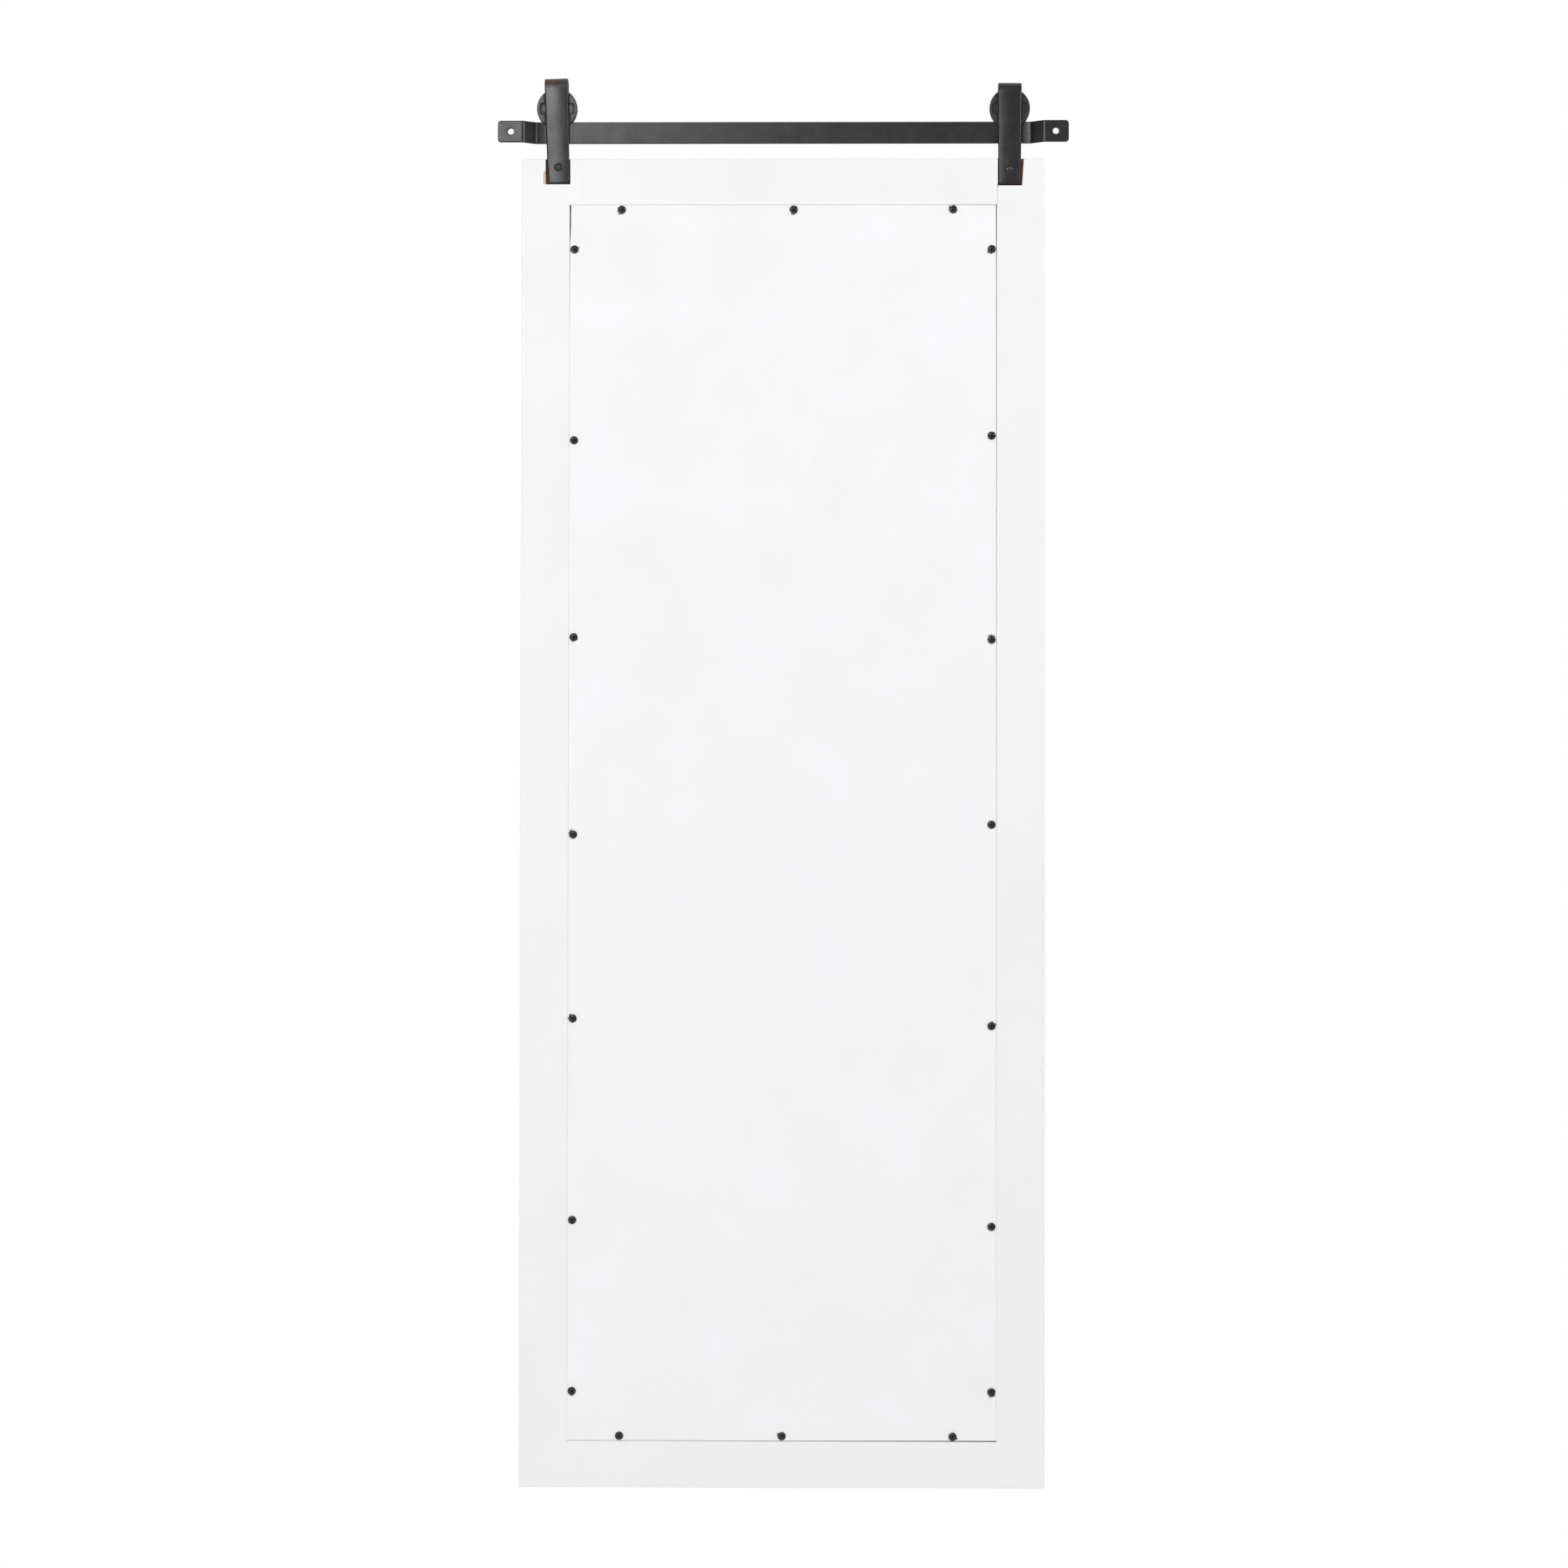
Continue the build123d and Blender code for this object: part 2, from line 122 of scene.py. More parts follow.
@dataclass(frozen=True)
class Grain:
    """An uneven pattern with real sizes.

    Attributes:
        size: Size of one light or dark patch, in millimetres.
        detail: Octaves of finer noise.
        depth: How deep it goes as relief, in millimetres.
    """

    size: float
    detail: float = 2.0
    depth: float = 0.0


def linear(code: str) -> tuple[float, float, float, float]:
    """Turns an sRGB hex colour into linear red, green, blue and alpha.

    Args:
        code: The colour as "#rrggbb".

    Returns:
        The linear colour with an alpha of 1.
    """
    parts = [int(code[i : i + 2], 16) / 255 for i in (1, 3, 5)]
    red, green, blue = (p / 12.92 if p <= 0.04045 else ((p + 0.055) / 1.055) ** 2.4 for p in parts)
    return (red, green, blue, 1.0)


class Nodes:
    """A node tree that is being filled.

    Attributes:
        tree: The node tree.
    """

    def __init__(self, tree: NodeTree) -> None:
        """Keeps the tree."""
        self.tree = tree

    def feed(self, socket: NodeSocket, value: object) -> None:
        """Links an output to a socket, or sets the socket's value.

        Args:
            socket: The socket that is fed.
            value: A value, an output, or a colour's hex code.
        """
        if isinstance(value, NodeSocket):
            self.tree.links.new(value, socket)
        else:
            socket.default_value = linear(value) if isinstance(value, str) else value

    def add(self, kind: str, inputs: dict[str | int, object] | None = None, **settings: object) -> Node:
        """Adds a node with its settings and links.

        Args:
            kind: The node's type without its "ShaderNode" prefix.
            inputs: Socket name or number, with what it is fed.
            **settings: Node properties by name.

        Returns:
            The new node.
        """
        node = self.tree.nodes.new("ShaderNode" + kind)
        for name, value in settings.items():
            setattr(node, name, value)
        for socket, value in (inputs or {}).items():
            self.feed(node.inputs[socket], value)
        return node

    def maths(self, operation: str, *values: object) -> NodeSocket:
        """Result of an operation on numbers.

        Args:
            operation: Name of the operation.
            *values: The numbers in order, each a value or an output.

        Returns:
            The resulting number.
        """
        return self.add("Math", dict(enumerate(values)), operation=operation).outputs[0]

    def vectors(self, operation: str, *values: object) -> NodeSocket:
        """Result of an operation on vectors.

        Args:
            operation: Name of the operation.
            *values: The vectors in order, each a value or an output.

        Returns:
            The resulting vector, or the number for a dot product or a length.
        """
        outputs = self.add("VectorMath", dict(enumerate(values)), operation=operation).outputs
        return outputs["Value"] if operation in ("DOT_PRODUCT", "LENGTH") else outputs[0]

    def mapped(
        self,
        value: object,
        start: float,
        end: float,
        low: object = 0.0,
        high: object = 1.0,
        blend: str = "LINEAR",
    ) -> NodeSocket:
        """Stretches one range of a number over another, and holds it at the ends.

        Args:
            value: The number.
            start: Where the result is the low one.
            end: Where the result is the high one.
            low: The low result.
            high: The high result.
            blend: How the result moves between the two.

        Returns:
            The stretched number.
        """
        inputs = {"Value": value, "From Min": start, "From Max": end, "To Min": low, "To Max": high}
        return self.add("MapRange", inputs, interpolation_type=blend).outputs[0]


class Surface(Nodes):
    """A material that is being made.

    Attributes:
        material: The material.
        shader: Its surface shader.
        place: Object-space position in metres.
    """

    def __init__(self, name: str) -> None:
        """Starts the material.

        Args:
            name: The material's name.
        """
        self.material = bpy.data.materials.new(name)
        self.material.use_nodes = True
        super().__init__(self.material.node_tree)
        self.shader = next(n for n in self.tree.nodes if n.type == "BSDF_PRINCIPLED")
        self.place = self.add("TexCoord").outputs["Object"]

    def along(self, axis: str) -> NodeSocket:
        """Position along "X", "Y" or "Z", in metres."""
        return self.add("SeparateXYZ", {0: self.place}).outputs[axis]

    def noise(self, grain: Grain, place: NodeSocket | None = None) -> NodeSocket:
        """Noise whose features have a real size.

        Args:
            grain: The pattern's sizes.
            place: Position in metres, or None for the object's own.

        Returns:
            The noise from 0 to 1.
        """
        inputs = {"Vector": place or self.place, "Scale": 1 / (2 * grain.size * MM), "Detail": grain.detail}
        return self.add("TexNoise", inputs).outputs["Fac"]

    def inside(self, region: Region) -> NodeSocket:
        """Mask that is 1 inside a region and 0 outside it.

        Args:
            region: The box to pick out.

        Returns:
            The mask.
        """
        low, high = Vector(region.low) * MM, Vector(region.high) * MM
        from_middle = self.vectors("SUBTRACT", self.place, (low + high) / 2)
        share = self.vectors("ABSOLUTE", self.vectors("DIVIDE", from_middle, (high - low) / 2))
        axes = self.add("SeparateXYZ", {0: share}).outputs
        widest = self.maths("MAXIMUM", self.maths("MAXIMUM", axes[0], axes[1]), axes[2])
        return self.maths("LESS_THAN", widest, 1.0)

    def scratched(
        self, colour: NodeSocket, scratches: tuple[Scratch, ...], tone: str, share: float
    ) -> NodeSocket:
        """Draws thin straight marks over a colour, each of which fades out at its ends.

        Args:
            colour: The colour under the marks.
            scratches: Where the marks run.
            tone: Colour of the marks.
            share: How strongly they show in their middle, from 0 to 1.

        Returns:
            The colour with the marks.
        """
        for scratch in scratches:
            start, end = (Vector((x, 0, z)) * MM for x, z in (scratch.start, scratch.end))
            along = (end - start).normalized()
            across = Vector((along.z, 0, -along.x))
            offset = self.vectors("SUBTRACT", self.place, (start + end) / 2)
            masks = []
            for axis, reach in ((across, scratch.width * MM / 2), (along, (end - start).length / 2)):
                distance = self.maths("ABSOLUTE", self.vectors("DOT_PRODUCT", offset, axis))
                masks.append(self.mapped(distance, reach, 0.0))
            faint = self.maths("MULTIPLY", self.maths("MULTIPLY", *masks), share)
            colour = self.mixed(faint, colour, tone)
        return colour

    def mixed(self, share: NodeSocket, first: object, second: object) -> NodeSocket:
        """Colour between two colours.

        Args:
            share: How much of the second colour.
            first: A colour, its hex code or an output.
            second: The same.

        Returns:
            The mixed colour.
        """
        return self.add("Mix", {0: share, 6: first, 7: second}, data_type="RGBA").outputs[2]

    def spread(self, value: NodeSocket, low: float = 0.0, high: float = 1.0) -> NodeSocket:
        """Noise with its middle stretched from a low to a high result."""
        return self.mapped(value, NOISE_LOW, NOISE_HIGH, low, high)

    def coat(self, colour: NodeSocket, roughness: object, *layers: tuple[NodeSocket, float]) -> Material:
        """Gives the surface its colour, its gloss and its fine relief.

        Args:
            colour: The colour.
            roughness: The roughness.
            *layers: Height from 0 to 1 and its depth in millimetres, for each layer of relief.

        Returns:
            The finished material.
        """
        self.feed(self.shader.inputs["Base Color"], colour)
        self.feed(self.shader.inputs["Roughness"], roughness)
        relief: dict[str, NodeSocket] = {}
        for height, depth_mm in layers:
            inputs = {"Height": height, "Distance": depth_mm * MM, "Strength": 1.0, **relief}
            relief = {"Normal": self.add("Bump", inputs).outputs[0]}
        for name, normal in relief.items():
            self.feed(self.shader.inputs[name], normal)
        return self.material


@dataclass(frozen=True)
class Finish:
    """What a surface is made of. Each kind of finish adds its own sizes and colours.

    Attributes:
        name: The material's name.
    """

    name: str


@dataclass(frozen=True)
class BlackPaintedSteel(Finish):
    """Hot-rolled flat steel bar under satin black paint.

    Attributes:
        paint: Colour of the paint.
        worn: Colour where the paint is rubbed thin.
        wear: Pattern of the rubbed patches.
        most_wear: Share of the worn colour in the middle of such a patch.
        roughness: Least and greatest roughness of the paint.
        waves: Long waves that rolling leaves.
        peel: Fine unevenness of the paint itself.
        pit_spacing_mm: Distance between the small pits that rolling leaves.
        pit_reach: Where a pit's floor ends and its rim is, as shares of that distance.
        pit_depth_mm: Depth of a pit.
        pit_tear_mm: How far the pits are drawn out of round.
        pit_wobble_mm: Size of the pattern that draws them out.
        crown_mm: How far the wide faces bulge in their middle.
        middle: X and Z of a point on an upright bar's centre line, in millimetres.
        lean: How far an upright bar's foot leans to the right, in degrees.
        half_width: Half of an upright bar's width, in millimetres.
        burnt: Colour of the paint where the bar was heated to bend it.
        burnt_height: Height in millimetres above which it was heated, or None for a bar that wasn't.
        burnt_fade: Where the heated band begins and is full, from that height.
        burnt_grain: Pattern of the heated paint.
        least_burnt: Share of the burnt colour between the burnt flecks.
        burnt_dulling: Roughness that the heat adds.
        bow_start: Distance from the bar's middle where a level bar begins to bow towards the wall.
        bow_end: Distance from its middle where it stops bowing.
        bow_mm: How far it bows there, or 0 for a straight bar.
    """

    # Satin paint over mill scale: a soft sheen, with pits and faint waves from rolling showing through
    paint: str = "#18171a"
    worn: str = "#302f32"
    wear: Grain = Grain(6.0, 3.0)
    most_wear: float = 0.4
    roughness: tuple[float, float] = (0.23, 0.31)
    waves: Grain = Grain(14.0, depth=0.03)
    peel: Grain = Grain(0.9, 3.0, 0.008)
    pit_spacing_mm: float = 7.0
    pit_reach: tuple[float, float] = (0.03, 0.12)
    pit_depth_mm: float = 0.05
    pit_tear_mm: float = 5.0
    pit_wobble_mm: float = 3.0
    crown_mm: float = 0.0
    middle: tuple[float, float] = (0.0, 0.0)
    lean: float = 0.0
    half_width: float = 13.0
    burnt: str = "#4a3a32"
    burnt_height: float | None = None
    burnt_fade: tuple[float, float] = (-4.0, 3.0)
    burnt_grain: Grain = Grain(2.5, 5.0)
    least_burnt: float = 0.1
    burnt_dulling: float = 0.35
    bow_start: float = 270.0
    bow_end: float = 284.0
    bow_mm: float = 0.0

    def bow(self, surface: Surface) -> NodeSocket:
        """Bow along a level bar, which rises to 1 ahead of each stepped end.

        Args:
            surface: The surface that is being made.

        Returns:
            The height of the bow.
        """
        along = surface.along("X")
        distance = surface.maths("ABSOLUTE", along)
        share = surface.mapped(distance, self.bow_start * MM, self.bow_end * MM)
        return surface.maths("MULTIPLY", share, share)

    def crown(self, surface: Surface) -> NodeSocket:
        """Bulge across an upright bar, which is 0 in its middle and -1 at its edges.

        Args:
            surface: The surface that is being made.

        Returns:
            The height of the bulge.
        """
        lean = math.radians(self.lean)
        middle = Vector((self.middle[0], 0, self.middle[1])) * MM
        across = Vector((math.cos(lean), 0, math.sin(lean)))
        aside = surface.vectors("DOT_PRODUCT", surface.vectors("SUBTRACT", surface.place, middle), across)
        share = surface.maths("DIVIDE", aside, self.half_width * MM)
        return surface.maths("MULTIPLY", surface.maths("MULTIPLY", share, share), -1.0)

    def pits(self, surface: Surface) -> NodeSocket:
        """Small torn pits.

        Args:
            surface: The surface that is being made.

        Returns:
            Their height, 0 on a pit's floor and 1 between the pits.
        """
        wobble_inputs = {"Vector": surface.place, "Scale": 1 / (self.pit_wobble_mm * MM)}
        wobble = surface.add("TexNoise", wobble_inputs).outputs["Color"]
        torn = surface.vectors("MULTIPLY_ADD", wobble, (self.pit_tear_mm * MM,) * 3, surface.place)
        inputs = {"Vector": torn, "Scale": 1 / (self.pit_spacing_mm * MM), "Randomness": 1.0}
        cells = surface.add("TexVoronoi", inputs, feature="F1").outputs["Distance"]
        return surface.mapped(cells, *self.pit_reach)

    def make(self) -> Material:
        """Builds the material.

        Returns:
            The material.
        """
        surface = Surface(self.name)
        waves = surface.noise(self.waves)
        peel = surface.noise(self.peel)
        wear = surface.spread(surface.noise(self.wear), 0.0, self.most_wear)
        colour = surface.mixed(wear, self.paint, self.worn)
        roughness = surface.spread(waves, *self.roughness)
        if self.burnt_height is not None:
            grain = surface.spread(surface.noise(self.burnt_grain), self.least_burnt)
            height = surface.along("Z")
            begins, full = ((self.burnt_height + fade) * MM for fade in self.burnt_fade)
            heated = surface.mapped(height, begins, full, blend="SMOOTHSTEP")
            share = surface.maths("MULTIPLY", grain, heated)
            colour = surface.mixed(share, colour, self.burnt)
            roughness = surface.maths("MULTIPLY_ADD", share, self.burnt_dulling, roughness)
        layers = [(waves, self.waves.depth), (peel, self.peel.depth)]
        layers.append((self.pits(surface), self.pit_depth_mm))
        if self.crown_mm > 0:
            layers.insert(0, (self.crown(surface), self.crown_mm))
        if self.bow_mm > 0:
            layers.insert(0, (self.bow(surface), self.bow_mm))
        return surface.coat(colour, roughness, *layers)


@dataclass(frozen=True)
class BlackPaintedCastIron(Finish):
    """Sand-cast iron wheel under satin black paint.

    Attributes:
        paint: Colour of the paint on the raised faces.
        thin: Colour where it is thinner.
        recess: Painted shade: the near-black colour that the pockets and the feet of their walls are
            darkened to.
        roughness: Least and greatest roughness of the raised faces.
        recess_roughness: Roughness in the pockets.
        grain: The sand grain printed in the skin.
        lumps: Longer unevenness of the casting.
        reach_mm: How far from the pockets' walls the painted shade and the duller paint reach.
        openness: How open a place is where the painted shade and the duller paint begin and where they are
            full.
        rays: How many directions are tried to find how open a place is.
    """

    # Sand casting leaves a fine grain; the pockets are painted darker as painted shade and their paint is
    # duller, while raised faces shine
    paint: str = "#1f2022"
    thin: str = "#343437"
    recess: str = "#070708"
    roughness: tuple[float, float] = (0.26, 0.34)
    recess_roughness: float = 0.75
    grain: Grain = Grain(0.6, 3.0, 0.012)
    lumps: Grain = Grain(4.0, depth=0.08)
    reach_mm: float = 3.5
    openness: tuple[float, float] = (0.95, 0.62)
    rays: int = 8

    def make(self) -> Material:
        """Builds the material.

        Returns:
            The material.
        """
        surface = Surface(self.name)
        grain = surface.noise(self.grain)
        lumps = surface.noise(self.lumps)
        reach = {"Distance": self.reach_mm * MM}
        # Painted shade: the more closed in a place is, the darker its colour, so the pockets and the feet of
        # their walls are painted darker; the same mask also dulls the paint there
        opened = surface.add("AmbientOcclusion", reach, samples=self.rays).outputs["AO"]
        pocket_shade_and_dulling = surface.mapped(opened, *self.openness)
        face = surface.mixed(surface.spread(lumps), self.paint, self.thin)
        colour = surface.mixed(pocket_shade_and_dulling, face, self.recess)
        satin = surface.spread(grain, *self.roughness)
        roughness = surface.mapped(pocket_shade_and_dulling, 0.0, 1.0, satin, self.recess_roughness)
        layers = [(lumps, self.lumps.depth), (grain, self.grain.depth)]
        return surface.coat(colour, roughness, *layers)


@dataclass(frozen=True)
class BlackOxideSteel(Finish):
    """Screw steel blackened in a hot bath and oiled.

    Attributes:
        tone: Colour of the oxide.
        rubbed: Colour where it is rubbed thin.
        metal: Share of bare metal that shows through, from 0 to 1.
        roughness: Least and greatest roughness.
        wear: Pattern of the rubbed places.
        skin: Fine relief of the blackened skin.
    """

    # A thin oiled oxide over bright steel: nearly black, with small sharp glints on the rounded head
    tone: str = "#38383a"
    rubbed: str = "#505053"
    metal: float = 1.0
    roughness: tuple[float, float] = (0.2, 0.3)
    wear: Grain = Grain(1.2, 4.0)
    skin: Grain = Grain(0.3, depth=0.006)

    def make(self) -> Material:
        """Builds the material.

        Returns:
            The material.
        """
        surface = Surface(self.name)
        wear = surface.noise(self.wear)
        surface.shader.inputs["Metallic"].default_value = self.metal
        colour = surface.mixed(surface.spread(wear), self.tone, self.rubbed)
        roughness = surface.spread(wear, *self.roughness)
        return surface.coat(colour, roughness, (surface.noise(self.skin), self.skin.depth))


@dataclass(frozen=True)
class ZincPlatedSteel(Finish):
    """Bright zinc-plated steel washer.

    Attributes:
        tone: Colour of the zinc.
        pale: Colour of its lighter cloud.
        roughness: Least and greatest roughness.
        cloud: Pattern of the cloud.
    """

    # Barrel plating leaves a pale metal with a slightly cloudy shine
    tone: str = "#b4b6b8"
    pale: str = "#c6c7c6"
    roughness: tuple[float, float] = (0.25, 0.4)
    cloud: Grain = Grain(2.0, 3.0)

    def make(self) -> Material:
        """Builds the material.

        Returns:
            The material.
        """
        surface = Surface(self.name)
        cloud = surface.noise(self.cloud)
        surface.shader.inputs["Metallic"].default_value = 1.0
        colour = surface.mixed(cloud, self.tone, self.pale)
        return surface.coat(colour, surface.spread(cloud, *self.roughness))


@dataclass(frozen=True)
class SprayedWhiteWood(Finish):
    """Wood members sprayed with white satin lacquer, bare where they were cut afterwards.

    Attributes:
        lacquer: Colour of the lacquer.
        shade: Colour of its thin and handled patches.
        cuts: Where a cut went through the lacquer.
        marks: Thin scuffs.
        mark_tone: Colour of the scuffs.
        mark_share: How strongly they show.
        roughness: Least and greatest roughness of the lacquer.
        cut_dulling: Roughness that bare wood adds.
        cloud: Pattern of the handled patches.
        stipple: The lacquer's fine stipple.
        fibres: The bare wood's fibres.
        fibre_stretch: How the fibre pattern is squeezed along each axis.
    """

    # Sprayed lacquer hides the grain but keeps a fine stipple; sawn cuts show warm fibres
    lacquer: str = "#f3f3f3"
    shade: str = "#f0f0f0"
    cuts: tuple[Cut, ...] = ()
    marks: tuple[Scratch, ...] = ()
    mark_tone: str = "#a9a49c"
    mark_share: float = 0.35
    roughness: tuple[float, float] = (0.42, 0.5)
    cut_dulling: float = 0.35
    cloud: Grain = Grain(60.0, 3.0, 0.04)
    stipple: Grain = Grain(0.7, 2.0, 0.012)
    fibres: Grain = Grain(0.5, 4.0)
    fibre_stretch: tuple[float, float, float] = (1.0, 1.0, 0.12)

    def make(self) -> Material:
        """Builds the material.

        Returns:
            The material.
        """
        surface = Surface(self.name)
        cloud = surface.noise(self.cloud)
        stipple = surface.noise(self.stipple)
        patches = surface.spread(cloud)
        colour = surface.mixed(patches, self.lacquer, self.shade)
        colour = surface.scratched(colour, self.marks, self.mark_tone, self.mark_share)
        roughness = surface.spread(cloud, *self.roughness)
        along_grain = surface.vectors("MULTIPLY", surface.place, self.fibre_stretch)
        fibres = surface.spread(surface.noise(self.fibres, along_grain))
        for cut in self.cuts:
            bare = surface.inside(cut.region)
            wood = surface.mixed(fibres, cut.light, cut.dark)
            colour = surface.mixed(bare, colour, wood)
            roughness = surface.maths("MULTIPLY_ADD", bare, self.cut_dulling, roughness)
        layers = [(cloud, self.cloud.depth), (stipple, self.stipple.depth)]
        return surface.coat(colour, roughness, *layers)


@dataclass(frozen=True)
class BareWood(Finish):
    """Planed light wood with no coat.

    Attributes:
        light: Colour of the early wood.
        dark: Colour of the late wood.
        ring_mm: Distance between growth lines.
        rings: About how many growth lines there are in one unit of their pattern.
        warp: How far the growth lines wander.
        roughness: Of the cut fibres.
        grain: Relief of the cut fibres, whose detail the growth lines share.
    """

    # Cut fibres scatter light, so it is dull and warm
    light: str = "#c99c70"
    dark: str = "#8a5a39"
    ring_mm: float = 2.0
    rings: float = 3.0
    warp: float = 4.0
    roughness: float = 0.8
    grain: Grain = Grain(0.4, 3.0, 0.08)

    def make(self) -> Material:
        """Builds the material.

        Returns:
            The material.
        """
        surface = Surface(self.name)
        inputs = {
            "Vector": surface.place,
            "Scale": 1 / (self.ring_mm * MM * self.rings),
            "Distortion": self.warp,
            "Detail": self.grain.detail,
        }
        lines = surface.add("TexWave", inputs).outputs["Fac"]
        colour = surface.mixed(lines, self.light, self.dark)
        layers = [(surface.noise(self.grain), self.grain.depth)]
        return surface.coat(colour, self.roughness, *layers)


@dataclass(frozen=True)
class WhiteFacedFibreboard(Finish):
    """Thin fibreboard with a rolled-on white face.

    Attributes:
        face: Colour of the face.
        smudge: Colour of handled patches.
        core: The board's brown core, which shows at its edges.
        scratches: Thin scratches in the face.
        scratch_tone: Colour of the scratches.
        scratch_share: How strongly they show.
        roughness: Least and greatest roughness.
        patches: Pattern of the handled patches.
        fibres: The board's fibres.
        swell: Long unevenness of the face.
    """

    # The white face is matt and a touch blue, with faint smudges from handling
    face: str = "#f5f5f7"
    smudge: str = "#f2f2f3"
    core: Cut = Cut(Region((-300.0, 4.35, -1600.0), (300.0, 7.05, 0.0)), "#8f6b50", "#5d4332")
    scratches: tuple[Scratch, ...] = ()
    scratch_tone: str = "#c4c4c8"
    scratch_share: float = 0.3
    roughness: tuple[float, float] = (0.5, 0.6)
    patches: Grain = Grain(45.0, 4.0)
    fibres: Grain = Grain(0.5, 3.0, 0.006)
    swell: Grain = Grain(30.0, depth=0.05)

    def make(self) -> Material:
        """Builds the material.

        Returns:
            The material.
        """
        surface = Surface(self.name)
        patches = surface.spread(surface.noise(self.patches))
        colour = surface.mixed(patches, self.face, self.smudge)
        colour = surface.scratched(colour, self.scratches, self.scratch_tone, self.scratch_share)
        fibres = surface.noise(self.fibres)
        brown = surface.mixed(fibres, self.core.light, self.core.dark)
        colour = surface.mixed(surface.inside(self.core.region), colour, brown)
        layers = [(surface.noise(self.swell), self.swell.depth), (fibres, self.fibres.depth)]
        return surface.coat(colour, surface.spread(patches, *self.roughness), *layers)


@dataclass(frozen=True)
class SilveredGlass(Finish):
    """Float glass with a silvered and painted back.

    Attributes:
        back: Distance in millimetres from the wall below which the grey back paint shows.
        silver: The two colours between which the silver varies.
        back_paint: Colour of the back paint.
        roughness: Of the silvered face.
        paint_dulling: Roughness that the back paint adds.
        ripple: Slight ripple of the glass.
    """

    # The silver gives a full mirror image; the glass over it adds a trace of green
    back: float = 8.4
    silver: tuple[str, str] = ("#eef2f0", "#f1f4f3")
    back_paint: str = "#59625f"
    roughness: float = 0.015
    paint_dulling: float = 0.5
    ripple: Grain = Grain(120.0, depth=0.01)

    def make(self) -> Material:
        """Builds the material.

        Returns:
            The material.
        """
        surface = Surface(self.name)
        ripple = surface.noise(self.ripple)
        silver = surface.mixed(ripple, *self.silver)
        distance = surface.along("Y")
        painted = surface.maths("LESS_THAN", distance, self.back * MM)
        colour = surface.mixed(painted, silver, self.back_paint)
        surface.feed(surface.shader.inputs["Metallic"], surface.maths("SUBTRACT", 1.0, painted))
        roughness = surface.maths("MULTIPLY_ADD", painted, self.paint_dulling, self.roughness)
        return surface.coat(colour, roughness, (ripple, self.ripple.depth))


@dataclass(frozen=True)
class MouldedRubber(Finish):
    """Black moulded rubber or grey-white foam, by colour.

    Attributes:
        tone: Colour.
        cells: The surface's cells.
        shade: How bright the hollows are beside the rest, from 0 to 1.
        roughness: Of the whole surface.
    """

    # Soft closed cells: fully matt with a fine grain
    tone: str = "#1c1c1c"
    cells: Grain = Grain(0.5, 2.0, 0.05)
    shade: float = 0.8
    roughness: float = 0.85

    def make(self) -> Material:
        """Builds the material.

        Returns:
            The material.
        """
        surface = Surface(self.name)
        cells = surface.noise(self.cells)
        red, green, blue, alpha = linear(self.tone)
        darker = (red * self.shade, green * self.shade, blue * self.shade, alpha)
        colour = surface.mixed(cells, self.tone, darker)
        return surface.coat(colour, self.roughness, (cells, self.cells.depth))


def dress(node: Object, material: Material, bevel_mm: float = 0.0, angle: float = 35.0) -> None:
    """Gives a carried CAD node its finish, and eases its edges.

    Args:
        node: The CAD node's object.
        material: Its finish.
        bevel_mm: Width of the eased edges, or 0 to leave them.
        angle: Least angle in degrees between two faces for their edge to be eased.
    """
    node.data.materials.clear()
    node.data.materials.append(material)
    if bevel_mm <= 0:
        return
    weld = node.modifiers.new("joined_faces", "WELD")
    weld.merge_threshold = 1e-6
    bevel = node.modifiers.new("eased_edges", "BEVEL")
    bevel.width = bevel_mm * MM
    bevel.segments = 3
    bevel.use_clamp_overlap = False
    bevel.loop_slide = False
    bevel.limit_method = "ANGLE"
    bevel.angle_limit = math.radians(angle)
    for polygon in node.data.polygons:
        polygon.use_smooth = True
    flats = node.modifiers.new("flat_faces_stay_flat", "WEIGHTED_NORMAL")
    flats.weight = 100
    flats.keep_sharp = True


def centres_of_screws(node: Object) -> list[Vector]:
    """Middles of the separate screws in a CAD node.

    Args:
        node: The CAD node's object.

    Returns:
        The middle of each screw's box, from the left and the top.
    """
    groups: list[list[Vector]] = []
    for vertex in node.data.vertices:
        home = next((g for g in groups if (g[0] - vertex.co).length < SCREW_REACH), None)
        if home is None:
            home = []
            groups.append(home)
        home.append(vertex.co.copy())
    middles = []
    for group in groups:
        low, high = (Vector(pick(v[i] for v in group) for i in range(3)) for pick in (min, max))
        middles.append((low + high) / 2)
    return sorted(middles, key=lambda m: (round(m.x, 3), -m.z))


def around(angle: float, radius: float = 1.0) -> Vector:
    """Offset at an angle and a radius, in a plane parallel to the wall."""
    return Vector((math.cos(angle), 0, math.sin(angle))) * radius


def new_piece(
    name: str, vertices: list[Vector], faces: list[tuple[int, ...]], material: Material, smooth: bool = True
) -> Object:
    """Makes a mesh object with a finish.

    Args:
        name: The piece's name.
        vertices: Its points in metres.
        faces: Its faces as vertex numbers.
        material: Its finish.
        smooth: Whether its faces are shaded as one round surface.

    Returns:
        The new object, linked to the scene.
    """
    mesh = bpy.data.meshes.new(name)
    mesh.from_pydata([tuple(v) for v in vertices], [], faces)
    mesh.validate()
    mesh.materials.append(material)
    for polygon in mesh.polygons:
        polygon.use_smooth = smooth
    piece = bpy.data.objects.new(name, mesh)
    bpy.context.scene.collection.objects.link(piece)
    return piece


